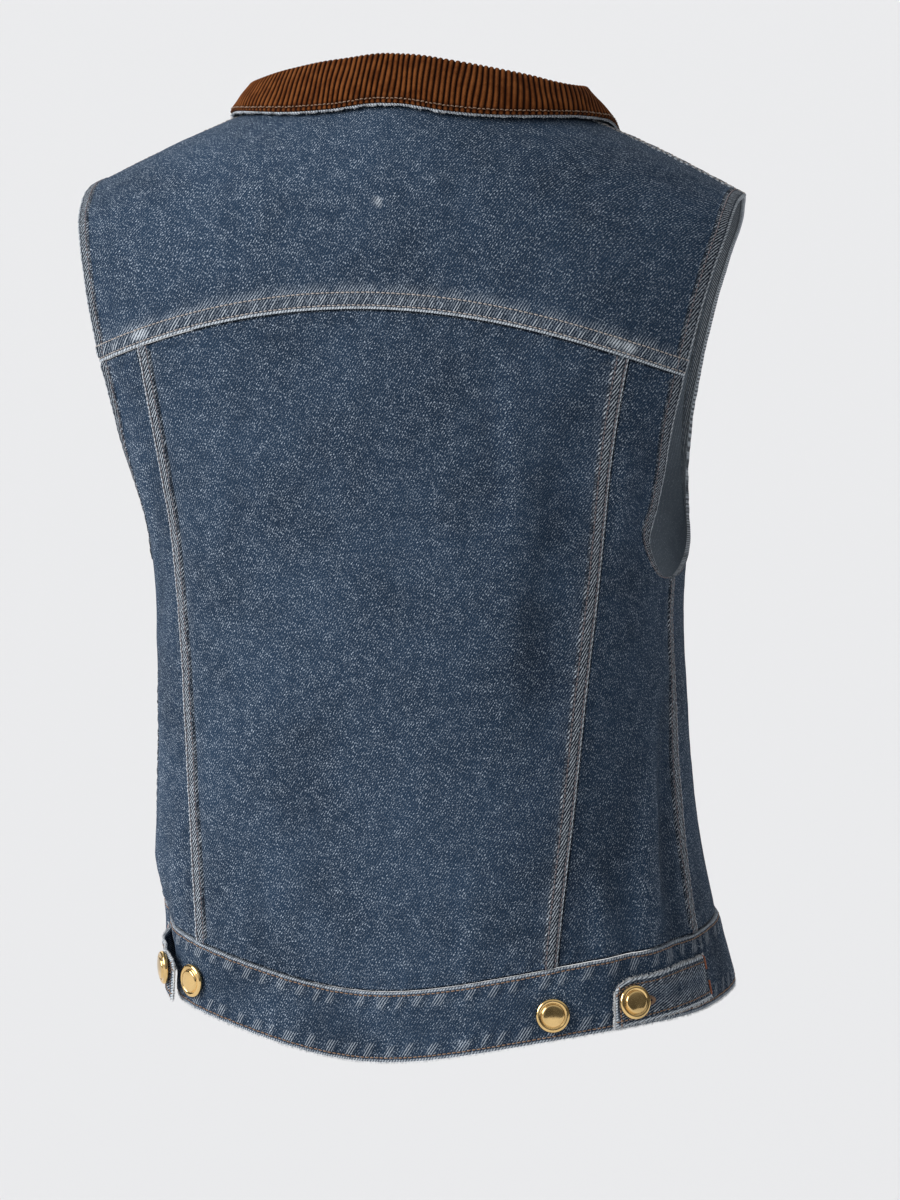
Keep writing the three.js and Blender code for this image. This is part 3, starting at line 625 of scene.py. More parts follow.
# %% [markdown]
# ## From grid to mesh
# A panel is a closed wall: an outer grid, an inner grid and rims. Solidify could give the
# thickness, but lapped seams are thicker than single cloth, so both faces are worked out. The
# outer face carries the distances as attributes and the unrolled coordinates as its UV map.

# %% Build walls and tubes
def link(name, mesh, materials, nodes=()):
    """Makes the object of a piece, on the one body, and hides the frame's parts that it replaces."""
    piece = bpy.data.objects.new(name, mesh)
    bpy.context.collection.objects.link(piece)
    for material in materials:
        mesh.materials.append(material)
    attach(piece, "root")
    if nodes:
        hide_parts(*nodes)
    return piece


def grid_faces(rows, columns, start=0, flip=False):
    """Quads of a grid whose rows run up and whose columns run along the turn, facing out."""
    number = np.arange(rows * columns).reshape(rows, columns) + start
    quads = np.stack([number[:-1, :-1], number[1:, :-1], number[1:, 1:], number[:-1, 1:]], -1).reshape(-1, 4)
    return quads[:, ::-1] if flip else quads


def wall_mesh(name, outer, inner, uv=None, fields=None, flip=False):
    """Outer grid, reversed inner grid and four rims, as one closed mesh."""
    rows, columns = outer.shape[:2]
    count = rows * columns
    number = np.arange(count).reshape(rows, columns)

    def rim(line):
        return np.stack([line[:-1], line[1:], line[1:] + count, line[:-1] + count], -1)

    faces = np.concatenate([
        grid_faces(rows, columns),
        grid_faces(rows, columns, count, True),
        rim(number[0]),
        rim(number[-1][::-1]),
        rim(number[:, 0][::-1]),
        rim(number[:, -1]),
    ])
    if flip:
        faces = faces[:, ::-1]
    mesh = bpy.data.meshes.new(name)
    vertices = np.concatenate([outer.reshape(-1, 3), inner.reshape(-1, 3)]) * MM
    mesh.from_pydata(vertices.tolist(), [], faces.tolist())
    inner_faces = np.zeros(len(faces), np.int32)
    inner_faces[(rows - 1) * (columns - 1):2 * (rows - 1) * (columns - 1)] = 1
    mesh.polygons.foreach_set("material_index", inner_faces)
    mesh.polygons.foreach_set("use_smooth", np.ones(len(faces), bool))
    mesh.set_sharp_from_angle(angle=np.radians(55))
    if uv is not None:
        corner = np.empty(len(mesh.loops), np.int32)
        mesh.loops.foreach_get("vertex_index", corner)
        flat = np.concatenate([uv.reshape(-1, 2)] * 2) * MM
        mesh.uv_layers.new(name="cloth").data.foreach_set("uv", flat[corner].ravel())
    for field, values in (fields or {}).items():
        data = np.stack([np.broadcast_to(value, outer.shape[:2]) for value in values], -1).reshape(-1, 3)
        data = np.concatenate([data, data]).astype(np.float32)
        mesh.attributes.new(field, "FLOAT_VECTOR", "POINT").data.foreach_set("vector", data.ravel())
    mesh.update()
    return mesh


# %% [markdown]
# ## Relief of sewn cloth
# Sewing shapes denim: each lapped seam is a band of doubled cloth, the rows of thread pull narrow
# dips into it, and shrinkage draws it into uneven puckers. All of that could be a bump in the
# shader, but puckers catch the light from the side, so they are real height here. A row of the
# table gives a border's band width and height, its stitch rows, and how strongly it puckers and wears.

# %% Seam table
FACE = 0.7
FELL_SLOPE = 1.2
NO_ROW = -9
SEAM_WIDTH, SEAM_HEIGHT, SEAM_ROWS, SEAM_PUCKER, SEAM_WEAR, SEAM_BEAT, SEAM_REACH, SEAM_GREY = range(8)
PLAIN = (0, FACE, (NO_ROW, NO_ROW), 0.28, 0.0, 12.5, 8.0, 0.0)
FELL = (8, 1.9, (1.5, 7.0), 0.34, 0.98, 6.2, 8.4, 0.9)
ARM_HEM = (9, 1.5, (7.2, NO_ROW), 0.26, 0.66, 5.4, 8.6, 1.0)
YOKE_FELL = (10.5, 2.1, (2.3, 9.6), 0.36, 0.95, 6.6, 8.2, 0.35)
SHOULDER_FELL = (8, 1.4, (1.5, 7.0), 0.25, 0.7, 6.0, 7.6, 0.6)
EDGE_BAND = (0, 1.3, (2.2, NO_ROW), 0.22, 0.6, 9.0, 8.0, 0.0)
RAW_EDGE = (0, 0, (NO_ROW, NO_ROW), 0, 1.2, 6.0, 4.0, 0.0)
SEAM_ENDS = {
    "back_centre": {"left": FELL, "right": FELL, "low": PLAIN, "high": PLAIN},
    "back_side": {"left": PLAIN, "side": FELL, "arm": ARM_HEM, "low": PLAIN, "high": PLAIN},
    "front": {"side": PLAIN, "arm": ARM_HEM, "right": PLAIN, "low": PLAIN, "high": SHOULDER_FELL},
    "yoke": {"left": ARM_HEM, "right": ARM_HEM, "low": YOKE_FELL, "high": PLAIN},
    "front_band": {"left": EDGE_BAND, "right": EDGE_BAND, "low": PLAIN, "high": PLAIN},
}


def ripple(run, period, seed):
    """Mean of three sines near one period with chance phases, so that no two puckers are alike."""
    phases = np.random.default_rng(seed).random(3)
    return sum(np.sin(2 * np.pi * (run / (period * s) + p)) for s, p in zip((0.79, 1, 1.31), phases)) / 3


def soft_noise(flat, size, seed):
    """Mean of nine sines in chance directions, about size long."""
    chance = np.random.default_rng(seed)
    total = 0
    for _ in range(9):
        angle, phase, stretch = chance.random() * np.pi, chance.random(), chance.uniform(0.7, 1.6)
        along = flat[..., 0] * np.cos(angle) + flat[..., 1] * np.sin(angle)
        total = total + np.sin(2 * np.pi * (along / (size * stretch) + phase))
    return total / 4


LEAN = 0.4


def beat_of(run, seam, seed):
    """Count of puckers along a seam, drifting so that they are unevenly wide."""
    period = seam[SEAM_BEAT]
    return run / period + 0.30 * ripple(run, 4.7 * period, seed) + 0.16 * ripple(run, 2.1 * period, seed + 1)


def seam_relief(distance, beat, seam, seed):
    """Band height, rounded edge, thread dips, and puckers that fade away from the seam."""
    width, height, rows, pucker = seam[:4]
    lift = mix(height, FACE, smooth((distance - width) / FELL_SLOPE)) - FACE
    ridge = np.exp(-((distance - 0.5 * seam[SEAM_REACH]) / (0.75 * seam[SEAM_REACH])) ** 2)
    extra = pucker * ridge * (np.sin(2 * np.pi * beat) + 0.3 * ripple(beat, 0.45, seed))
    extra = extra - 0.3 * smooth(1 - distance / 1.3)
    for row in rows:
        extra = extra - 0.38 * np.exp(-((distance - row) / 0.85) ** 2)
    return lift, extra


def wear_fields(edge, beat, seam, fade_and_painted_light=0.5):
    """Three vectors for the shader: where the seam is, how rubbed it is with the painted light and shade of
    the cloth round it, and where its thread runs.
    """
    return {
        "seam": (edge, beat, seam[SEAM_REACH]),
        "rub_and_light": (seam[SEAM_WEAR], seam[SEAM_GREY], fade_and_painted_light),
        "rows": (seam[SEAM_ROWS][0], seam[SEAM_ROWS][1], 0.0 * edge),
    }


def relief(grid, seams, flat, seed):
    """Highest band of all borders plus their dips and puckers, with the nearest seam's wear fields."""
    lift = np.zeros(flat.shape[:2])
    extra = 0.22 * soft_noise(flat, 46, seed) + 0.10 * soft_noise(flat, 15, seed + 1)
    nearest = np.full(lift.shape, 98.0)
    fields = {}
    for number, (border, seam) in enumerate(seams.items()):
        distance = grid[border]
        level = border in ("low", "high")
        run = flat[..., 0] + LEAN * flat[..., 1] if level else flat[..., 1] + LEAN * flat[..., 0]
        beat = beat_of(run, seam, seed + number)
        up, more = seam_relief(distance, beat, seam, seed + 10 * number)
        lift = np.maximum(lift, up)
        extra = extra + more
        score = distance - 0.6 * seam[SEAM_WIDTH]
        near = score < nearest
        nearest = np.where(near, score, nearest)
        own = wear_fields(distance, beat, seam)
        for field, values in own.items():
            before = fields.get(field, values)
            fields[field] = [np.where(near, new, old) for new, old in zip(values, before)]
    return FACE + lift + extra, fields


def ridge_fade_and_painted_light(grid):
    """Cloth that stands proud is paler, partly rubbed and partly painted highlight, and painted shade darkens
    the wearer's right, the side away from the key light.
    """
    places = grid["places"]
    turn_step, height_step = np.array([0.09, 0]), np.array([0, 14])
    around = [fold_depth(*np.moveaxis(places + step, -1, 0)) for step in
              (turn_step, -turn_step, height_step, -height_step)]
    # fold ridges paler: partly rubbed, partly painted highlight
    proud = fold_depth(places[..., 0], places[..., 1]) - sum(around) / 4
    # painted shade: darker colour on the wearer's right, the side away from the key light
    painted_shade_on_right = 0.12 * smooth(np.radians(12) - places[..., 0])
    return np.clip(0.45 + 0.55 * proud - painted_shade_on_right, 0, 1)


# %% [markdown]
# ## Denim, corduroy, metal and thread
# Denim is a twill: dyed warp lies over pale weft in diagonal lines, and rubbing brings the pale core
# out first on edges and puckers. An image of cloth would be the usual way. Node groups are
# used instead, reading the panels' own unrolled coordinates, so the lines follow each panel at any
# size. One group draws the twill and one the wear along seams, with painted shade in their stitch rows.

# %% Groups of shader nodes
def new_group(name, inputs, outputs):
    """Empty shader group with float inputs and outputs, and its net."""
    tree = bpy.data.node_groups.new(name, "ShaderNodeTree")
    for socket, value in inputs.items():
        tree.interface.new_socket(socket, in_out="INPUT", socket_type="NodeSocketFloat").default_value = value
    for socket in outputs:
        tree.interface.new_socket(socket, in_out="OUTPUT", socket_type="NodeSocketFloat")
    net = Net(tree)
    return tree, net, tree.nodes.new("NodeGroupInput").outputs, tree.nodes.new("NodeGroupOutput").inputs


def use_group(net, tree, **values):
    """Places a group in a tree and gives its outputs."""
    node = net.tree.nodes.new("ShaderNodeGroup")
    node.node_tree = tree
    for socket, value in values.items():
        net.feed(node.inputs[socket], value)
    return node.outputs


# %% Twill group
TWILL_PITCH = 1.42
YARN_PITCH = 0.46

twill, net, given, result = new_group("twill", {"Pitch": TWILL_PITCH}, ("Line", "Fleck", "Cloud", "Height"))
position = net.add("ShaderNodeUVMap", uv_map="cloth")
position = net.add("ShaderNodeVectorMath", {0: position, "Scale": 1000.0}, operation="SCALE")
across, up, _ = net.split(position)
step = net.math("DIVIDE", net.plus(net.times(across, 0.866), net.times(up, 0.5)), given["Pitch"])
along = net.plus(net.times(across, -0.5), net.times(up, 0.866))
wander = net.noise(position, 0.06, 2.0)
phase = net.plus(step, net.times(wander, 0.7))
line = net.plus(net.times(net.math("SINE", net.times(phase, 2 * np.pi)), 0.5), 0.5)
speck = net.noise(net.vector(net.times(step, 2.2), net.times(along, 0.8)), 1.0, 2.0, 0.65)
group_noise = net.noise(position, 0.14, 3.0, 0.6)
fleck = net.times(
    net.ramp(net.plus(speck, net.times(group_noise, 0.2)), 0.645, 0.745),
    net.ramp(line, 0.05, 0.7, 0.35, 1.0))
yarn = net.math("SINE", net.times(across, 2 * np.pi / YARN_PITCH))
net.feed(result["Line"], line)
net.feed(result["Fleck"], fleck)
net.feed(result["Cloud"], net.noise(position, 0.013, 4.0, 0.6))
net.feed(result["Height"], net.plus(net.plus(line, net.times(yarn, 0.12)), net.times(speck, 0.8)))

# %% Seam wear group with painted stitch-row shade
SEAM_INPUTS = {
    "Edge": 50.0, "Beat": 0.0, "Reach": 8.0, "Grey": 0.0, "Line": 0.5, "RowA": -9.0, "RowB": -9.0,
}
seam_wear_and_shade, net, given, result = new_group("seam_wear_and_shade", SEAM_INPUTS, ("Mask", "RowShadeAndHollows", "Grey"))
edge, beat, reach, line = given["Edge"], given["Beat"], given["Reach"], given["Line"]
drift = net.noise(net.vector(net.times(beat, 0.9), net.times(edge, 0.05)), 1.0, 3.0)
swing = net.plus(beat, net.times(net.math("SUBTRACT", drift, 0.5), 0.35))
puckers = net.ramp(net.math("SINE", net.times(swing, 2 * np.pi)), 0.05, 0.75)
past = net.math("SUBTRACT", edge, net.plus(reach, net.times(net.math("SUBTRACT", drift, 0.5), 9.0)))
band = net.times(net.ramp(edge, 2.0, 3.0), net.ramp(past, 0.8, -1.2))
thin_lines = net.ramp(line, 0.62, 0.95)
worn_places = net.vector(net.times(beat, 7.0), net.times(edge, 0.6))
breaks = net.ramp(net.noise(worn_places, 1.0, 3.0, 0.7), 0.36, 0.56)
grey_lines = net.times(given["Grey"], net.plus(net.times(breaks, 0.55), 0.3))
bars = net.times(net.math("MAXIMUM", net.times(puckers, 0.85), grey_lines), thin_lines)
beads = net.ramp(line, 0.25, 0.7)
rim = net.times(net.ramp(edge, 1.9, 1.1), net.plus(net.times(beads, 0.85), 0.25))
rim = net.times(rim, net.plus(net.times(breaks, 0.7), 0.5))
fringe = net.times(net.times(net.ramp(past, 9.0, 0.0), net.ramp(past, -1.0, 0.5)), net.times(thin_lines, 0.9))
kept = net.times(net.math("SUBTRACT", 1.0, given["Grey"]), net.ramp(reach, 9.6, 8.8))
fringe = net.times(net.times(fringe, net.ramp(drift, 0.3, 0.5)), kept)
most = net.math("MAXIMUM", rim, net.math("MAXIMUM", net.times(bars, band), fringe))
gap_a = net.math("ABSOLUTE", net.math("SUBTRACT", edge, given["RowA"]))
gap_b = net.math("ABSOLUTE", net.math("SUBTRACT", edge, given["RowB"]))
# painted shade: a narrow dark line along each stitch row
painted_row_shade = net.ramp(net.math("MINIMUM", gap_a, gap_b), 0.95, 0.4)
# the pale wear is held back in the stitch rows as part of the same painted shade
net.feed(result["Mask"], net.times(most, net.math("SUBTRACT", 1.0, net.times(painted_row_shade, 0.85))))
hollows = net.times(net.times(band, 0.22), net.math("SUBTRACT", 1.0, puckers))
# output: painted stitch-row shade together with the unfaded dye in the hollows between puckers
net.feed(result["RowShadeAndHollows"], net.math("MAXIMUM", painted_row_shade, hollows))
net.feed(result["Grey"], net.times(given["Grey"], net.ramp(net.math("SUBTRACT", edge, reach), 1.6, 0.4)))


# %% Materials
INDIGO_DEEP = (0.0062, 0.0130, 0.026, 1)
INDIGO = (0.0148, 0.0318, 0.063, 1)
INDIGO_LINE = (0.034, 0.062, 0.105, 1)
GREYED = (0.010, 0.015, 0.024, 1)
# painted shadow colour: the near-black line beside the edge of a lapped seam
SEAM_EDGE_SHADOW = (0.0016, 0.003, 0.0065, 1)
FLECK = (0.50, 0.58, 0.68, 1)
WEFT = (0.58, 0.63, 0.68, 1)
# reverse of the denim: its own pale colour, darkened a little as painted shade for the inside of the hollow
INSIDE_DEEP = (0.07, 0.09, 0.115, 1)
INSIDE = (0.11, 0.135, 0.165, 1)
INSIDE_LINE = (0.19, 0.22, 0.25, 1)
INSIDE_GREYED = (0.06, 0.07, 0.08, 1)
# painted shade colour for the corduroy grooves
PILE_GROOVE_SHADE = (0.011, 0.0028, 0.0008, 1)
PILE = (0.100, 0.027, 0.0055, 1)
PILE_RUBBED = (0.24, 0.085, 0.024, 1)


def material(name, rough=0.9, metal=0.0, shine=0.5):
    """New material with its net and its surface shader's inputs. Cloth has little shine of its own."""
    paint = bpy.data.materials.new(name)
    paint.use_nodes = True
    shader = paint.node_tree.nodes["Principled BSDF"]
    shader.inputs["Roughness"].default_value = rough
    shader.inputs["Metallic"].default_value = metal
    shader.inputs["Specular IOR Level"].default_value = shine
    return paint, Net(paint.node_tree), shader.inputs


def bump(net, height, strength, distance):
    """Normal from a height in the shader."""
    return net.add("ShaderNodeBump", {"Height": height, "Strength": strength, "Distance": distance})


def denim(name, deep, mid, raised_line, grey, fleck_amount):
    """Indigo twill, deep to mid by cloud, rubbing and painted light and shade, with pale specks, grey bands,
    rubbed seams and painted shadow at seam edges and stitch rows.
    """
    paint, net, shader = material(name, 0.95, shine=0.12)
    weave = use_group(net, twill)
    edge, beat, reach = net.attribute("seam")
    wear, greyness, fade_and_painted_light = net.attribute("rub_and_light")
    row_a, row_b, bare = net.attribute("rows")
    rubbed = use_group(net, seam_wear_and_shade, Edge=edge, Beat=beat, Reach=reach, Grey=greyness, Line=weave["Line"],
                       RowA=row_a, RowB=row_b)
    # tone: random cloud plus the third rub value, which on the panels holds paler fold ridges (partly rubbed,
    # partly painted highlight) and painted shade on the wearer's right
    tone = net.ramp(net.plus(weave["Cloud"], net.times(fade_and_painted_light, 0.22)), 0.16, 0.94)
    ground = net.blend(tone, deep, mid)
    ground = net.blend(net.times(weave["Line"], net.ramp(tone, 0.0, 1.0, 0.35, 0.9)), ground, raised_line)
    ground = net.blend(rubbed["Grey"], ground, grey)
    # painted stitch-row shade and the unfaded pucker hollows darken the cloth toward deep indigo
    ground = net.blend(net.times(rubbed["RowShadeAndHollows"], 0.7), ground, deep)
    # painted shadow: where seam wear is low, cloth next to the edge of a lapped seam darkens to near black,
    # as if shaded by the fell above it
    seam_edge_shadow = net.times(net.ramp(edge, 1.9, 0.7), net.ramp(wear, 0.12, 0.04))
    ground = net.blend(net.times(seam_edge_shadow, 0.85), ground, SEAM_EDGE_SHADOW)
    # more pale specks where that value is high, so they follow the painted light as well as the rubbing
    specks = net.times(weave["Fleck"], net.ramp(fade_and_painted_light, 0.0, 1.0, fleck_amount * 0.6, fleck_amount * 1.2))
    ground = net.blend(specks, ground, FLECK)
    pale = net.math("MULTIPLY", rubbed["Mask"], wear, use_clamp=True)
    bare = net.times(bare, net.ramp(net.plus(weave["Fleck"], weave["Line"]), 0.1, 0.7))
    pale = net.math("MAXIMUM", pale, bare)
    net.feed(shader["Base Color"], net.blend(pale, ground, WEFT))
    net.feed(shader["Normal"], bump(net, weave["Height"], 0.5, 0.00025))
    return paint


denim_face = denim("denim", INDIGO_DEEP, INDIGO, INDIGO_LINE, GREYED, 0.80)
denim_back = denim("denim_inside", INSIDE_DEEP, INSIDE, INSIDE_LINE, INSIDE_GREYED, 0.4)


def corduroy():
    """Brown pile: dark down in the grooves and in the stitch row's dip by painted shade, paler on the rubbed
    tops of the ribs, mottled all over.
    """
    paint, net, shader = material("corduroy", 0.95, shine=0.08)
    rib = net.attribute("rib")[0]
    spot = net.add("ShaderNodeTexCoord", out="Object")
    mottle = net.noise(spot, 95.0, 5.0, 0.65)
    pile = net.noise(spot, 1500.0, 2.0, 0.6)
    top = net.ramp(net.plus(rib, net.times(mottle, 0.5)), 0.55, 1.35)
    # painted shade: the grooves between the ribs get a near-black brown
    colour = net.blend(top, PILE_GROOVE_SHADE, PILE)
    rubbed = net.times(net.ramp(net.times(rib, net.plus(mottle, 0.35)), 0.62, 0.95), 0.5)
    colour = net.blend(rubbed, colour, PILE_RUBBED)
    net.feed(shader["Base Color"], colour)
    net.feed(shader["Normal"], bump(net, net.plus(pile, net.times(mottle, 0.5)), 0.55, 0.0005))
    return paint


def plain(name, colour, rough, metal=0.0, grain=0.0, scale=900.0):
    """One colour with a fine mottled grain."""
    paint, net, shader = material(name, rough, metal)
    spot = net.add("ShaderNodeTexCoord", out="Object")
    speck = net.noise(spot, scale, 3.0, 0.6)
    shade = tuple(channel * 0.55 for channel in colour[:3]) + (1,)
    net.feed(shader["Base Color"], net.blend(net.ramp(speck, 0.25, 0.6), shade, colour))
    net.feed(shader["Roughness"], net.ramp(speck, 0.2, 0.8, max(rough - 0.08, 0.02), rough + 0.08))
    if grain:
        net.feed(shader["Normal"], bump(net, speck, grain, 0.0003))
    return paint


cord_face = corduroy()
gold = plain("gold_metal", (0.90, 0.62, 0.27, 1), 0.11, 1.0, 0.0, 60.0)
thread_tan = plain("thread_tan", (0.27, 0.165, 0.105, 1), 0.7, grain=0.5)
thread_dull = plain("thread_dull", (0.20, 0.17, 0.18, 1), 0.75, grain=0.5)
thread_pale = plain("thread_pale", (0.47, 0.42, 0.39, 1), 0.7, grain=0.5)
thread_orange = plain("thread_orange", (0.36, 0.10, 0.035, 1), 0.7, grain=0.5)
thread_frayed = plain("thread_frayed", (0.78, 0.80, 0.82, 1), 0.85, grain=0.3)
print("materials", len(bpy.data.materials))

# %% [markdown]
# ## The panels
# Each panel is one call: its four border lines, its steps and its seams. The back has a wide centre
# panel lapped over two side panels and a yoke lapped over all three. The fronts are not in the
# picture; they are finished plainly, with a buttoned edge band each.

# %% Make one sewn panel
surfaces = {}
CLOSE = NEAR[:13]


def grid_normals(points, flip):
    """Unit normals of a grid from its central differences."""
    up, across = np.gradient(points, axis=0), np.gradient(points, axis=1)
    return unit(np.cross(up, across)) * (-1 if flip else 1)


def sewn_panel(name, grid, seams, seed, inside=FACE, bare=None):
    """Bare: where it is rubbed white."""
    places = grid["places"]
    flat = unrolled(places)
    lift, fields = relief(grid, seams, flat, seed)
    # third rub value: paler fold ridges, partly rubbed and partly painted highlight, and painted shade on the
    # wearer's right
    fields["rub_and_light"][2] = ridge_fade_and_painted_light(grid)
    if bare is not None:
        fields["rows"][2] = bare
    flip = grid["hand"] < 0
    outer = raised(places, lift)
    mesh = wall_mesh(name + "_cloth", outer, raised(places, -inside), flat, fields, flip)
    piece = link(name + "_cloth", mesh, (denim_face, denim_back), (name,))
    surfaces[name] = dict(grid, points=outer, normals=grid_normals(outer, flip))
    return piece


def joined(first, second, split):
    """Line that runs through first up to a share and through second beyond it."""
    def line(v):
        v = np.asarray(v, float)
        low = first(np.clip(v / split, 0, 1))
        high = second(np.clip((v - split) / (1 - split), 0, 1))
        return np.where((v < split)[..., None], low, high)
    return line


def split_side(grid, border, level, share):
    """Parts a border into the side seam below the arm and the armhole above it."""
    below = (level <= share)[:, None]
    grid["side"], grid["arm"] = np.where(below, grid[border], 99.0), np.where(below, 99.0, grid[border])
    return grid


# %% Back panels
UNDERARM_SHARE = 12 / 18


def side_seam(share):
    """Place on the side seam, from the waist to the underarm."""
    height = mix(waist_seam(SIDE_TURN)[1], UNDERARM, np.asarray(share, float))
    return np.stack(np.broadcast_arrays(SIDE_TURN, height), -1)


princess_line = joined(
    lambda t: princess(mix(princess_foot, UNDERARM, t)),
    lambda t: princess(mix(UNDERARM, princess_top, t)), UNDERARM_SHARE)
side_line = joined(side_seam, lambda t: arm_back(mix(1, yoke_at_arm, t)), UNDERARM_SHARE)
back_levels = levels(370, (UNDERARM_SHARE, 88), (1, 48))

centre = patch(
    lambda v: princess_line(v) * [-1, 1],
    princess_line,
    lambda u: waist_seam(mix(-princess_turn, princess_turn, np.asarray(u, float))),
    lambda u: yoke_seam(mix(-princess_half, princess_half, np.asarray(u, float))),
)
sewn_panel("back_centre", lay(centre, back_levels, CLOSE, CLOSE, 84), SEAM_ENDS["back_centre"], 11)

back_side = patch(
    princess_line,
    side_line,
    lambda u: waist_seam(mix(princess_turn, SIDE_TURN, np.asarray(u, float))),
    lambda u: yoke_seam(mix(princess_half, yoke_half, np.asarray(u, float))),
)
for label, side in (("left", 1), ("right", -1)):
    grid = lay(back_side, back_levels, CLOSE, CLOSE, 28, side)
    grid = split_side(grid, "right", back_levels, UNDERARM_SHARE)
    sewn_panel("back_side_" + label, grid, SEAM_ENDS["back_side"], 120 + side)

# %% Yoke
def yoke_top(share):
    """Shoulder line from each tip to the neck, and the back neckline between."""
    x = mix(-TIP_HALF, TIP_HALF, np.asarray(share, float))
    inner = neck_back(np.minimum(np.abs(x) / NECK_HALF, 1))
    place = np.where((np.abs(x) < NECK_HALF)[..., None], inner, crest_place(np.abs(x), False))
    return place * np.stack([np.sign(x), np.ones_like(x)], -1)


def yoke_side(share):
    """Armhole edge of the yoke, from its lower seam to the shoulder."""
    return arm_back(mix(yoke_at_arm, 0, np.asarray(share, float)))


yoke = patch(
    lambda v: yoke_side(v) * [-1, 1],
    yoke_side,
    lambda u: yoke_seam(mix(-yoke_half, yoke_half, np.asarray(u, float))),
    yoke_top,
)
NECK_SHARE = 0.5 - NECK_HALF / TIP_HALF / 2
yoke_levels = levels(2 * yoke_half, (NECK_SHARE, 40), (1 - NECK_SHARE, 74), (1, 40))
BARE_SPOTS = [
    # x, up from the seam, half width, half height, how bare
    [144, 6.5, 5.5, 3.2, 0.9],
    [-139, 6.5, 3.5, 3.0, 0.85],
    [-146, 6.0, 4.5, 3.0, 1.0],
    [-2, 62, 2.2, 2.0, 0.9],
]
yoke_grid = lay(yoke, yoke_levels, NEAR, NEAR[:8], 52, upright=True)
yoke_x = cloth(yoke_grid["places"])[..., 0]
bare = np.zeros(yoke_x.shape)
for x, up, half_width, half_height, amount in BARE_SPOTS:
    apart = ((yoke_x - x) / half_width) ** 2 + ((yoke_grid["low"] - up) / half_height) ** 2
    bare = np.maximum(bare, amount * np.exp(-apart ** 2))
sewn_panel("yoke", yoke_grid, SEAM_ENDS["yoke"], 31, bare=bare)

# %% Fronts and their edge bands
FRONT_ROW_TURN = -325
FRONT_SHARE = 12 / 24
FRONT_NECK_SHARE = 19 / 24
neck_at_band = share_where(neck_front, lambda place: cloth(place)[0] < FRONT_BAND / 2)
band_bottom = float(waist_seam(np.pi)[1])
band_top = float(neck_front(neck_at_band)[1])
band_turn = float(turn_at(FRONT_BAND / 2, band_bottom, True))


def band_line(v):
    """Seam of the front edge band, from the waist up to the neckline at the neck's share."""
    v = np.asarray(v, float)
    lower = mix(band_bottom, FRONT_ROW_TURN, v / FRONT_SHARE)
    upper = mix(FRONT_ROW_TURN, band_top, (v - FRONT_SHARE) / (FRONT_NECK_SHARE - FRONT_SHARE))
    height = np.where(v < FRONT_SHARE, lower, upper)
    return np.stack([turn_at(FRONT_BAND / 2, height, True), height], -1)


front = patch(
    joined(side_seam, arm_front, FRONT_SHARE),
    joined(
        lambda t: band_line(t * FRONT_NECK_SHARE),
        lambda t: neck_front(mix(neck_at_band, 0, t)), FRONT_NECK_SHARE),
    lambda u: waist_seam(mix(SIDE_TURN, band_turn, np.asarray(u, float))),
    lambda u: crest_place(mix(TIP_HALF, NECK_HALF, np.asarray(u, float)), True),
)
front_levels = levels(430, (FRONT_SHARE, 66), (1, 90))
for label, side in (("left", 1), ("right", -1)):
    grid = lay(front, front_levels, CLOSE, NEAR[:8], 42, side)
    grid = split_side(grid, "left", front_levels, FRONT_SHARE)
    sewn_panel("front_" + label, grid, SEAM_ENDS["front"], 50 + side)


def mirrored_turn(place):
    """The same place across centre front."""
    return np.stack([2 * np.pi - place[..., 0], place[..., 1]], -1)


def band_neck(share):
    """Neckline across the band, down to centre front and up again."""
    share = np.asarray(share, float)
    place = neck_front(mix(neck_at_band, 1, 1 - np.abs(1 - 2 * share)))
    return np.where((share < 0.5)[..., None], place, mirrored_turn(place))


def band_side(share):
    """The whole seam of the front edge band, from the waist to the neckline."""
    return band_line(np.asarray(share, float) * FRONT_NECK_SHARE)


front_band = patch(
    band_side,
    lambda v: mirrored_turn(band_side(v)),
    lambda u: waist_seam(mix(band_turn, 2 * np.pi - band_turn, np.asarray(u, float))),
    band_neck,
)
for label, side in (("left", 1), ("right", -1)):
    grid = lay(front_band, levels(440, (1, 130)), NEAR[:9], NEAR[:9], 6, side)
    sewn_panel("front_band_" + label, grid, SEAM_ENDS["front_band"], 70 + side, inside=1.1)

# %% [markdown]
# ## Waistband and its tabs
# The waistband is a straight strip folded double, sewn on at its top edge and stitched again along the
# hem. It carries two short tabs that draw the waist in, each with a button at its point. It could be
# laid like the panels, but its borders are level lines, so its steps are plain lists.

# %% Waistband
BAND_FACE = 2.1
BAND_INSIDE = 1.1
BAND_HEIGHT = BAND_TOP - HEM
BAND_ROW_TOP = 2.5
BAND_ROW_HEM = 2.7
BAND_ROLL = 2.5


def band_place(turn, up):
    """Place on the waistband, up from the hem."""
    turn, up = np.broadcast_arrays(np.asarray(turn, float), np.asarray(up, float))
    return np.stack([turn, HEM + up + hem_rise(turn)], -1)


BAND_SEAM = (0, BAND_FACE, (BAND_ROW_TOP, NO_ROW), 0.42, 0.56, 12.8, 9.8, 0.0)
BAND_HEM = (0, BAND_FACE, (BAND_ROW_HEM, NO_ROW), 0.42, 0.58, 12.8, 10.4, 0.0)


def band_lift(distance_low, distance_high, beat_low, beat_high):
    """Rolled edges, thread dips at both rows, and ropey puckers between them."""
    roll = np.minimum(distance_low, distance_high)
    lift = BAND_FACE - 0.8 * smooth(1 - roll / BAND_ROLL)
    edges = (
        (distance_high, BAND_ROW_TOP, beat_high),
        (distance_low, BAND_ROW_HEM, beat_low),
    )
    for distance, row, beat in edges:
        ridge = np.exp(-((distance - 7) / 6) ** 2)
        lift = lift + 0.42 * ridge * np.sin(2 * np.pi * beat)
        lift = lift - 0.42 * np.exp(-((distance - row) / 0.9) ** 2)
    return lift


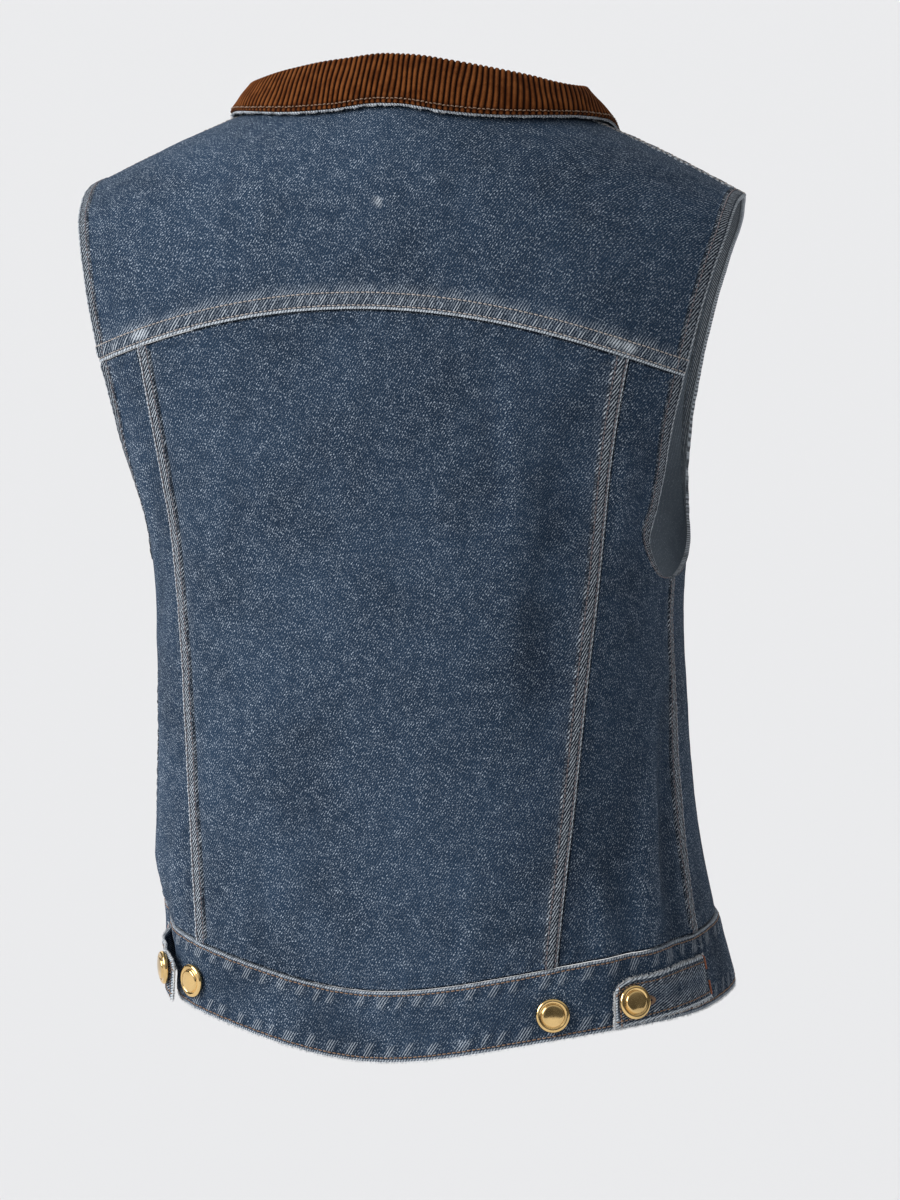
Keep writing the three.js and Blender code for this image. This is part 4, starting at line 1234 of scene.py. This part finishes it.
up_steps = np.concatenate([NEAR[:12], [13, 15.5, 18, 21], BAND_HEIGHT - 2 * SEAM - np.array([18, 15.5, 13]),
                           BAND_HEIGHT - 2 * SEAM - NEAR[11::-1]])
turn_steps = np.linspace(-2 * np.pi + band_turn, 2 * np.pi - band_turn, 620)
turn_steps = turn_steps[np.abs(turn_steps) < 2 * np.pi - band_turn + 1e-6]
places = band_place(turn_steps[None, :], up_steps[:, None])
flat = unrolled(places)
run = flat[..., 0] + LEAN * flat[..., 1]
low = up_steps[:, None] + 0 * run
high = BAND_HEIGHT - low
beat_low, beat_high = beat_of(run, BAND_HEM, 91), beat_of(run + 300, BAND_SEAM, 95)
outer = raised(places, band_lift(low, high, beat_low, beat_high))
fade_and_painted_light = np.clip(0.3 + 0.4 * soft_noise(flat, 60, 93), 0, 1)
from_top = wear_fields(high, beat_high, BAND_SEAM, fade_and_painted_light)
from_hem = wear_fields(low, beat_low, BAND_HEM, fade_and_painted_light)
fields = {}
for field in from_top:
    pairs = zip(from_top[field], from_hem[field])
    fields[field] = [np.where(low < high, b, a) for a, b in pairs]
mesh = wall_mesh("waistband_cloth", outer, raised(places, -BAND_INSIDE), flat, fields)
waistband = link("waistband_cloth", mesh, (denim_face, denim_back), ("waistband",))
surfaces["waistband"] = {
    "points": outer, "normals": grid_normals(outer, False), "low": low, "high": high,
    "left": reach_of(outer, 1)[0], "right": reach_of(outer, 1)[1],
}


# %% Tabs
TAB_LENGTH = 25.6
TAB_SEWN_LOW, TAB_SEWN_HIGH, TAB_TIP_LOW, TAB_TIP_HIGH = 5, 29, 0.8, 27.5
TAB_CORNER = 6
TAB_GAP = 0.4
TAB_CLOTH = 2.0
TAB_BOW_ENDS = 0.72
TABS = [
    # name, side, turn of the tip, stands off, bow, button's turn and height, spare button's turn and height
    ["left", 1, 51.2, 5.0, 6.0, (54.8, 18), (47, 17)],
    ["right", -1, 57.4, 0.8, 0.0, (61, 14), (45.5, 15)],
]
TAB_SEAM = (0, TAB_CLOTH, (3.6, NO_ROW), 0, 1.0, 8.5, 7.0, 0.4)


def tab_place(side, tip, share, level):
    """Place on a tab, from its sewn end to its point and from its lower edge to its upper one."""
    low = mix(TAB_SEWN_LOW, TAB_TIP_LOW, share)
    corner = 1 - np.sqrt(1 - np.clip((share - 0.86) / 0.14, 0, 1) ** 2)
    high = mix(TAB_SEWN_HIGH, TAB_TIP_HIGH, share) - TAB_CORNER * corner
    return band_place(side * np.radians(tip + TAB_LENGTH * (1 - share)), mix(low, high, level))


def tab_lift(share, stands_off, bow):
    """A tab lies on the band where it is sewn, may bow out beyond that, and stands off at its point."""
    bowed = np.sin(np.pi * np.clip(share / TAB_BOW_ENDS, 0, 1)) ** 2
    return BAND_FACE + TAB_GAP + stands_off * smooth((share - 0.25) / 0.6) + bow * bowed


for label, side, tip, stands_off, bow, fastened, spare in TABS:
    share = np.concatenate([NEAR[:11] / 70, np.linspace(0.17, 0.83, 38), 1 - NEAR[10::-1] / 70])
    level = np.concatenate([NEAR[:8] / 25, np.linspace(0.36, 0.64, 6), 1 - NEAR[7::-1] / 25])
    places = tab_place(side, tip, share[None, :], level[:, None])
    points = raised(places, tab_lift(share, stands_off, bow)[None, :] + 0 * level[:, None])
    low, high = reach_of(points, 0)
    left, right = reach_of(points, 1)
    roll = np.minimum(np.minimum(low, high), np.minimum(left, right))
    run = left + LEAN * low + 20 * side
    beat = beat_of(run, TAB_SEAM, 200 + side)
    lift = TAB_CLOTH - 0.9 * smooth(1 - roll / 1.8) - 0.35 * np.exp(-((roll - 3.6) / 0.85) ** 2)
    lift = lift + 0.3 * np.exp(-((roll - 6) / 4) ** 2) * np.sin(2 * np.pi * beat)
    outer = points + outward(places) * lift[..., None]
    flat = unrolled(places)
    fields = wear_fields(roll, beat, TAB_SEAM, 0.4)
    mesh = wall_mesh("tab_%s_cloth" % label, outer, points, flat[..., ::-1], fields, side > 0)
    piece = link("tab_%s_cloth" % label, mesh, (denim_face, denim_face), ("tab_" + label,))
    surfaces["tab_" + label] = {
        "points": outer, "normals": grid_normals(outer, side > 0),
        "low": low, "high": high, "left": left, "right": right,
    }

# %% [markdown]
# ## Collar
# The collar is corduroy: velvety ribs of cut pile a little over three millimetres apart, running up
# over the fold, backed by a denim layer whose raw edge shows below. The ribs could be a bump, but their
# outline shows along the fold, so each is real height with eight points across. Its profile
# rises from the neckline, turns over the fold and falls to an edge clear of the yoke.

# %% Collar profile
WALES = 150
WALE_POINTS = 8
COLLAR_END = 14
COLLAR_BASE = 1.7
FOLD_RADIUS = 2.5
COLLAR_GAP = 0.15
CORD_VALLEY, CORD_PEAK = 1.05, 2.25
UNDERCOLLAR = 1.35
UNDERCOLLAR_SHOWS = 0.5
EDGE_CLEARANCE = 4.2
COLLAR_HALF = 245
COLLAR_LEAF = 45
COLLAR_ROW = 3.4
STAND_STEPS, FOLD_STEPS, FALL_STEPS = 4, 7, 15
ROWS_TO_FALL = STAND_STEPS + FOLD_STEPS - 2
EDGE_PLAN = [
    [0, 77], [35, 75], [68, 62], [94, 38], [111, 2],
    [115, -25], [112, -48], [99, -72], [78, -93], [50, -108],
]
STAND_ALONG, STAND_EDGE, STAND_OUT, STAND_UP = range(4)
STANDS = np.array([
    [0.0, 0.0, 3.5, 17],
    [0.22, 0.19, 5.5, 16],
    [0.44, 0.42, 11.5, 11],
    [0.7, 0.7, 11.0, 12],
    [1.0, 1.0, 8.0, 14],
], float)

neck_end = share_where(neckline, lambda place: place[0] > np.pi / 2 and cloth(place)[0] < COLLAR_END)
collar_edge = plan_line(EDGE_PLAN)


def collar_rows(signed):
    """Points and facing directions from the neck over the fold to the edge, one column per share."""
    side, along = np.where(signed < 0, -1.0, 1.0), np.abs(signed)
    flip = np.stack([side, np.ones_like(side)], -1)

    def neck_point(share):
        return raised(neckline(share * neck_end) * flip, 0)

    def stand(column):
        return curve(STANDS[:, STAND_ALONG], STANDS[:, column], along)[:, None]

    ahead = neck_point(np.minimum(along + 0.004, 1)) - neck_point(np.maximum(along - 0.004, 0))
    out = unit(np.stack([-side * ahead[:, 1], side * ahead[:, 0], 0 * side], -1))
    out[along < 0.004] = [0, 1, 0]
    up = np.array([0, 0, 1.0])
    base = neck_point(along) + up * COLLAR_BASE
    fold = base + out * stand(STAND_OUT) + up * stand(STAND_UP)
    edge = raised(collar_edge(stand(STAND_EDGE)[:, 0]) * flip, EDGE_CLEARANCE)
    to_base, to_edge = unit(base - fold), unit(edge - fold)
    half = np.arccos((to_base * to_edge).sum(-1, keepdims=True)) / 2
    centre = fold + unit(to_base + to_edge) * FOLD_RADIUS / np.sin(half)
    stand_stop = fold + to_base * FOLD_RADIUS / np.tan(half)
    fall_start = fold + to_edge * FOLD_RADIUS / np.tan(half)
    face_stand, face_fall = unit(stand_stop - centre), unit(fall_start - centre)
    rows = [(mix(base, stand_stop, t), face_stand) for t in np.linspace(0, 1, STAND_STEPS)]
    for t in np.linspace(0, 1, FOLD_STEPS)[1:-1]:
        face = unit(mix(face_stand, face_fall, t))
        rows.append((centre + face * FOLD_RADIUS, face))
    for t in np.linspace(0, 1, FALL_STEPS):
        rows.append((mix(fall_start, edge, t) + face_fall * 0.8 * np.sin(np.pi * t), face_fall))
    return np.stack([row[0] for row in rows]), np.stack([row[1] for row in rows]), to_edge


# %% Corduroy layer and denim layer
signed = np.linspace(-1, 1, WALES * WALE_POINTS + 1)
points, faces, to_edge = collar_rows(signed)
share_down = np.concatenate([np.zeros(ROWS_TO_FALL), np.linspace(0, 1, FALL_STEPS)])[:, None]
sway = 0.10 * np.sin(signed * 23 + share_down * 3) + 0.06 * np.sin(signed * 61 + share_down * 5)
wale = (signed + 1) / 2 * WALES
phase = (wale + sway) % 1
rib = 1 - np.abs(2 * phase - 1) ** 2.6
flat = np.stack(np.broadcast_arrays(signed * COLLAR_HALF, share_down * COLLAR_LEAF), -1)
dents = soft_noise(flat, 34, 5)
edge_fade = smooth(np.minimum(1 - share_down, 0.04) / 0.04)
lift = CORD_VALLEY + (CORD_PEAK - CORD_VALLEY) * rib * (0.35 + 0.65 * edge_fade)
lift = lift + 0.25 * np.minimum(dents, 0.6)
from_edge = (1 - share_down) * COLLAR_LEAF
row_dip = np.exp(-((from_edge - COLLAR_ROW) / 0.9) ** 2)
lift = lift - 0.55 * row_dip
outer = points + faces * lift[..., None]
inner = points + faces * COLLAR_GAP
# the rib value dips at the stitch row, so the corduroy shader paints shade into that dip as it does in the
# grooves
mesh = wall_mesh("collar_cloth", outer, inner, None, {"rib": (rib * (1 - 0.35 * row_dip), 0.0, 0.0)}, True)
collar = link("collar_cloth", mesh, (cord_face, cord_face), ("collar",))
surfaces["collar"] = {"points": outer, "normals": faces, "rows": from_edge + 0 * signed}

signed_plain = np.linspace(-1, 1, 420)
points, faces, to_edge = collar_rows(signed_plain)
chance = np.random.default_rng(77)
ragged = np.zeros(points.shape[:2])
edge_flat = np.stack([signed_plain * COLLAR_HALF, 0 * signed_plain], -1)
ragged[-1] = UNDERCOLLAR_SHOWS + 0.5 * soft_noise(edge_flat, 9, 8)
ragged[-1] += chance.uniform(-0.25, 0.5, len(signed_plain))
outer = points - faces * COLLAR_GAP + to_edge * ragged[..., None]
inner = points - faces * UNDERCOLLAR + to_edge * ragged[..., None]
edge = np.concatenate([np.full(ROWS_TO_FALL, 40.0), np.linspace(COLLAR_LEAF, 0, FALL_STEPS)])[:, None]
edge = edge + 0 * signed_plain
flat = np.stack(np.broadcast_arrays(signed_plain * COLLAR_HALF, -edge), -1)
fields = wear_fields(edge, flat[..., 0] / RAW_EDGE[SEAM_BEAT], RAW_EDGE, 0.7)
mesh = wall_mesh("undercollar_cloth", outer, inner, flat, fields, True)
undercollar = link("undercollar_cloth", mesh, (denim_face, denim_back), ("undercollar",))
surfaces["undercollar"] = {"points": outer, "normals": faces, "down": to_edge}

# %% [markdown]
# ## Buttons
# The buttons are stamped metal tacks: a rolled rim, a groove and a raised flat centre, polished and a
# little dented by use. They could be spun in the CAD at full fineness; here the same outline gets
# rounder turns and sixty-four sides.

# %% Buttons
BUTTON_GAP = 0.3
BUTTON_SIDES = 64
BUTTON_OUTLINE = np.array([
    [0.0, 0.0], [8.4, 0.0], [9.2, 0.25], [9.75, 0.8], [10.0, 1.5], [9.92, 2.2], [9.6, 2.8], [9.1, 3.12],
    [8.5, 3.25], [7.9, 3.2], [7.45, 3.0], [7.15, 2.8], [6.95, 2.8], [6.8, 2.95], [6.65, 3.4], [6.45, 3.8],
    [6.1, 4.02], [5.5, 4.12], [4.0, 4.3], [2.0, 4.5], [0.0, 4.6],
])
FRONT_BUTTON_TOP, FRONT_BUTTON_STEP, FRONT_BUTTONS = -84, 92, 5


def button(node, place, lift, seed):
    """The outline spun about the cloth's outward direction, over the spot where the button sits."""
    place = np.array(place, float)
    spot = raised(place, lift + BUTTON_GAP)
    axis = outward(place)
    side = unit(np.cross(axis, [0.1, 0.2, 1.0]))
    other = np.cross(axis, side)
    turn = np.linspace(0, 2 * np.pi, BUTTON_SIDES, endpoint=False)
    ring = side * np.cos(turn)[:, None] + other * np.sin(turn)[:, None]
    radius, height = BUTTON_OUTLINE[1:-1, 0], BUTTON_OUTLINE[1:-1, 1]
    wobble = 0.05 * np.sin(2 * turn + seed) * (radius[:, None] / 10)
    body = spot + ring * radius[:, None, None] + axis * (height[:, None] + wobble)[..., None]
    vertices = np.concatenate([body.reshape(-1, 3), [spot, spot + axis * BUTTON_OUTLINE[-1, 1]]])
    number = np.arange(len(radius) * BUTTON_SIDES).reshape(len(radius), BUTTON_SIDES)
    after = np.roll(number, -1, axis=1)
    quads = np.stack([number[:-1], after[:-1], after[1:], number[1:]], -1).reshape(-1, 4)
    foot, crown = len(vertices) - 2, len(vertices) - 1
    caps = [(b, a, foot) for a, b in zip(number[0].tolist(), after[0].tolist())]
    caps += [(a, b, crown) for a, b in zip(number[-1].tolist(), after[-1].tolist())]
    mesh = bpy.data.meshes.new(node + "_metal")
    mesh.from_pydata((vertices * MM).tolist(), [], quads.tolist() + caps)
    mesh.polygons.foreach_set("use_smooth", np.ones(len(mesh.polygons), bool))
    mesh.set_sharp_from_angle(angle=np.radians(50))
    return link(node + "_metal", mesh, (gold,), (node,))


def band_spot(side, turn, up):
    """Place on the band at a turn in degrees."""
    return band_place(side * np.radians(turn), up)


for label, side, tip, stands_off, bow, fastened, spare in TABS:
    on_tab = tab_lift(1.0, stands_off, bow) + TAB_CLOTH
    button("tab_button_" + label, band_spot(side, *fastened), on_tab, side)
    button("spare_button_" + label, band_spot(side, *spare), BAND_FACE, side + 3)
for i in range(FRONT_BUTTONS):
    button("front_button_%d" % (i + 1), (-np.pi, FRONT_BUTTON_TOP - i * FRONT_BUTTON_STEP), 1.3, i)
button("waist_button", band_place(-np.pi, BAND_HEIGHT / 2), BAND_FACE, 9)
print("buttons done")

# %% [markdown]
# ## Stitches, tacks and frayed ends
# A topstitched row is a line of short thread arcs that dive into the cloth at both ends. A dotted texture
# would be flat; each stitch here is a small bent tube, made from one template for all rows of a
# colour. Frayed edges get single bent fibres of the pale weft.

# %% Rows of stitches
STITCH = 3.0
STITCH_GAP = 0.55
THREAD = 0.34


def line_at(name, border, distance, keep=None):
    """Points and normals where the distance from a border first reaches a value, along that border."""
    surface = surfaces[name]
    axis = 0 if border in ("low", "high", "rows") else 1
    field = np.moveaxis(surface[border], axis, 0)
    points, normals = np.moveaxis(surface["points"], axis, 0), np.moveaxis(surface["normals"], axis, 0)
    if keep is not None:
        field, points, normals = field[:, keep], points[:, keep], normals[:, keep]
    if field[0].mean() > field[-1].mean():
        field, points, normals = field[::-1], points[::-1], normals[::-1]
    i = np.maximum(np.argmax(field >= distance, axis=0), 1)
    k = np.arange(field.shape[1])
    t = np.clip((distance - field[i - 1, k]) / (field[i, k] - field[i - 1, k]), 0, 1)[:, None]
    return mix(points[i - 1, k], points[i, k], t), unit(mix(normals[i - 1, k], normals[i, k], t))


def between(run, values, spots):
    """Points of a line at distances along it, whose own points lie at the distances in run."""
    return np.stack([np.interp(spots, run, values[:, i]) for i in range(3)], -1)


def tube_mesh(name, tubes, turned=False):
    """Closed tubes from an array of points by tube, ring and side. Turned: the rings run the other way."""
    count, rings, sides = tubes.shape[:3]
    base = np.arange(count)[:, None] * rings * sides
    ring_step, side_step = np.meshgrid(np.arange(rings - 1) * sides, np.arange(sides), indexing="ij")
    after = (side_step + 1) % sides
    quad = np.stack([ring_step + side_step, ring_step + after,
                     ring_step + sides + after, ring_step + sides + side_step], -1).reshape(1, -1, 4)
    side_numbers = np.arange(sides)
    parts = [
        (base[:, :, None] + quad).reshape(-1, 4),
        (base + side_numbers)[:, ::-1],
        base + (rings - 1) * sides + side_numbers,
    ]
    faces = []
    for part in parts:
        faces += (part[:, ::-1] if turned else part).tolist()
    mesh = bpy.data.meshes.new(name)
    mesh.from_pydata((tubes.reshape(-1, 3) * MM).tolist(), [], faces)
    mesh.polygons.foreach_set("use_smooth", np.ones(len(mesh.polygons), bool))
    return mesh


class Threads:
    """Gathers the middles, directions and sizes of the stitches of one colour."""

    def __init__(self):
        self.rows = []

    def row(self, points, normals, length=STITCH, gap=STITCH_GAP, radius=THREAD, lift=0.10):
        """Adds stitches end to end along a line of points."""
        run = np.concatenate([[0], np.cumsum(np.linalg.norm(np.diff(points, axis=0), axis=1))])
        count = int(run[-1] / length)
        middles = (np.arange(count) + 0.5) * run[-1] / count
        half = (length - gap) / 2
        start, stop = between(run, points, middles - half), between(run, points, middles + half)
        up = unit(between(run, normals, middles))
        middle = (start + stop) / 2 * 0.4 + between(run, points, middles) * 0.6 + up * lift
        self.rows.append(np.concatenate([middle, (stop - start) / 2, up, np.full((count, 1), radius)], -1))

    def bars(self, centres, halves, ups, radius=THREAD):
        """Adds single stitches by their middle, half vector and outward direction."""
        self.rows.append(np.concatenate([centres, halves, ups, np.full((len(centres), 1), radius)], -1))

    def make(self, name, paint):
        """Template tube of five sides and five rings, bent down at both ends, at every stitch."""
        data = np.concatenate(self.rows)
        middle, half, up, radius = data[:, 0:3], data[:, 3:6], data[:, 6:9], data[:, 9]
        across = unit(np.cross(up, half))
        along = np.array([-1.0, -0.78, 0.0, 0.78, 1.0])
        width = np.array([0.45, 0.95, 1.05, 0.95, 0.45])
        sink = np.array([-1.1, -0.15, 0.25, -0.15, -1.1])
        turn = np.linspace(0, 2 * np.pi, 5, endpoint=False)
        jitter = np.random.default_rng(3).normal(0, 0.05, (len(data), 1, 1, 1))
        ring = (across[:, None, None] * (np.cos(turn) * 1.12)[None, None, :, None]
                + up[:, None, None] * (np.sin(turn) * 0.85)[None, None, :, None])
        tube = (middle[:, None, None] + half[:, None, None] * along[None, :, None, None]
                + up[:, None, None] * (sink[None, :, None, None] * radius[:, None, None, None])
                + across[:, None, None] * jitter
                + ring * (width[None, :, None, None] * radius[:, None, None, None]))
        link(name, tube_mesh(name, tube, True), (paint,))
        print(name, len(data), "stitches")


tan, pale, dull, orange = Threads(), Threads(), Threads(), Threads()
above = back_levels > UNDERARM_SHARE
front_above = front_levels > FRONT_SHARE
ROWS_OF_THREAD = [
    [pale, "yoke", "low", (2.3, 9.6), None],
    [dull, "yoke", "left", (7.2,), None],
    [dull, "yoke", "right", (7.2,), None],
    [dull, "back_centre", "left", (1.5, 7.0), None],
    [dull, "back_centre", "right", (1.5, 7.0), None],
    [dull, "back_side_left", "right", (1.5, 7.0), ~above],
    [dull, "back_side_right", "right", (1.5, 7.0), ~above],
    [dull, "back_side_left", "right", (7.2,), above],
    [dull, "back_side_right", "right", (7.2,), above],
    [dull, "front_left", "left", (7.2,), front_above],
    [dull, "front_right", "left", (7.2,), front_above],
    [pale, "front_left", "high", (1.5, 7.0), None],
    [pale, "front_right", "high", (1.5, 7.0), None],
    [tan, "front_band_left", "left", (2.2,), None],
    [tan, "front_band_left", "right", (2.2,), None],
    [tan, "front_band_right", "left", (2.2,), None],
    [tan, "front_band_right", "right", (2.2,), None],
    [tan, "waistband", "high", (BAND_ROW_TOP,), None],
    [tan, "waistband", "low", (BAND_ROW_HEM,), None],
]
for thread, name, border, distances, keep in ROWS_OF_THREAD:
    for distance in distances:
        thread.row(*line_at(name, border, distance, keep))
tan.row(*line_at("collar", "rows", COLLAR_ROW), length=3.2, lift=0.35)

# %% Tab stitches, bar tacks and buttonholes
for label, side, tip, stands_off, bow, fastened, spare in TABS:
    name = "tab_" + label
    for border in ("low", "high", "right"):
        tan.row(*line_at(name, border, 3.6), length=2.7)
    points, normals = line_at(name, "left", 2.5)
    run = np.linalg.norm(points - points[0], axis=1)
    for start in (2.0, run[-1] - 8.0):
        spots = start + np.arange(15) * 0.55
        ups = unit(between(run, normals, spots))
        halves = np.cross(ups, unit(points[-1] - points[0])) * 0.75
        orange.bars(between(run, points, spots) + ups * 0.25, halves, ups, 0.30)
    hole = band_spot(side, *fastened)
    middle = raised(hole, tab_lift(1.0, stands_off, bow) + TAB_CLOTH + 0.05)
    axis = outward(hole)
    along = unit(np.cross(axis, [0, 0, 1.0])) * side
    other = np.cross(axis, along)
    turn = np.linspace(0, 2 * np.pi, 60, endpoint=False)
    loop = middle + along * (8.5 * np.cos(turn) + 5.5)[:, None] + other * (2.6 * np.sin(turn))[:, None]
    outwards = unit(along * (np.cos(turn) * 0.25)[:, None] + other * np.sin(turn)[:, None])
    tan.bars(loop, outwards * 1.1, np.repeat(axis[None], len(turn), 0), 0.26)

tan.make("stitching_tan", thread_tan)
pale.make("stitching_pale", thread_pale)
dull.make("stitching_dull", thread_dull)
orange.make("bar_tacks", thread_orange)


# %% Frayed fibres
def fibres(name, roots, ways, ups, length, radius, seed):
    """Three-sided fibres of three rings: straight out from the root, then bent by a chance turn."""
    chance = np.random.default_rng(seed)
    count = len(roots)
    reach = chance.uniform(0.35, 1.0, (count, 1)) * length
    lean = chance.normal(0, 0.55, (count, 3))
    first = unit(ways + 0.45 * lean)
    second = unit(first + 0.8 * chance.normal(0, 0.6, (count, 3)))
    bend = roots + first * reach * 0.5
    spine = np.stack([roots, bend, bend + second * reach * 0.5], 1)
    across = unit(np.cross(first, ups))
    turn = np.linspace(0, 2 * np.pi, 3, endpoint=False)
    ring = (across[:, None, None] * np.cos(turn)[None, None, :, None]
            + ups[:, None, None] * np.sin(turn)[None, None, :, None])
    width = np.array([1.0, 0.8, 0.35])[None, :, None, None] * radius
    tube = spine[:, :, None] + ring * width
    return link(name, tube_mesh(name, tube), (thread_frayed,))


def scatter(line, count, seed):
    """Chance spots on a line of points."""
    spots = np.random.default_rng(seed).uniform(0, len(line) - 1.001, count)
    i = spots.astype(int)
    return i, mix(line[i], line[i + 1], (spots - i)[:, None])


layer = surfaces["undercollar"]
i, roots = scatter(layer["points"][-1], 900, 21)
fibres("collar_fray", roots, layer["down"][i], layer["normals"][-1][i], 2.0, 0.10, 22)


def frayed_edge(points, normals, count, seed):
    """Roots along the last row of a grid, with the way out of its cloth and the outward direction."""
    i, roots = scatter(points[-1], count, seed)
    return roots, unit(points[-1][i] - points[-6][i]), normals[-6][i]


tab_edges = []
for label in ("left", "right"):
    layer = surfaces["tab_" + label]
    points, normals = layer["points"], layer["normals"]
    tab_edges.append(frayed_edge(points.transpose(1, 0, 2), normals.transpose(1, 0, 2), 420, 23))
    tab_edges.append(frayed_edge(points, normals, 260, 24))
    tab_edges.append(frayed_edge(points[::-1], normals[::-1], 160, 25))
fibres("tab_fray", *[np.concatenate(parts) for parts in zip(*tab_edges)], 2.2, 0.16, 26)
points, normals = surfaces["waistband"]["points"], surfaces["waistband"]["normals"]
hem_roots, hem_ways, hem_ups = frayed_edge(points[::-1], normals[::-1], 3800, 27)
fibres("hem_fray", hem_roots, hem_ways + 0.5 * hem_ups, hem_ups, 1.6, 0.15, 28)
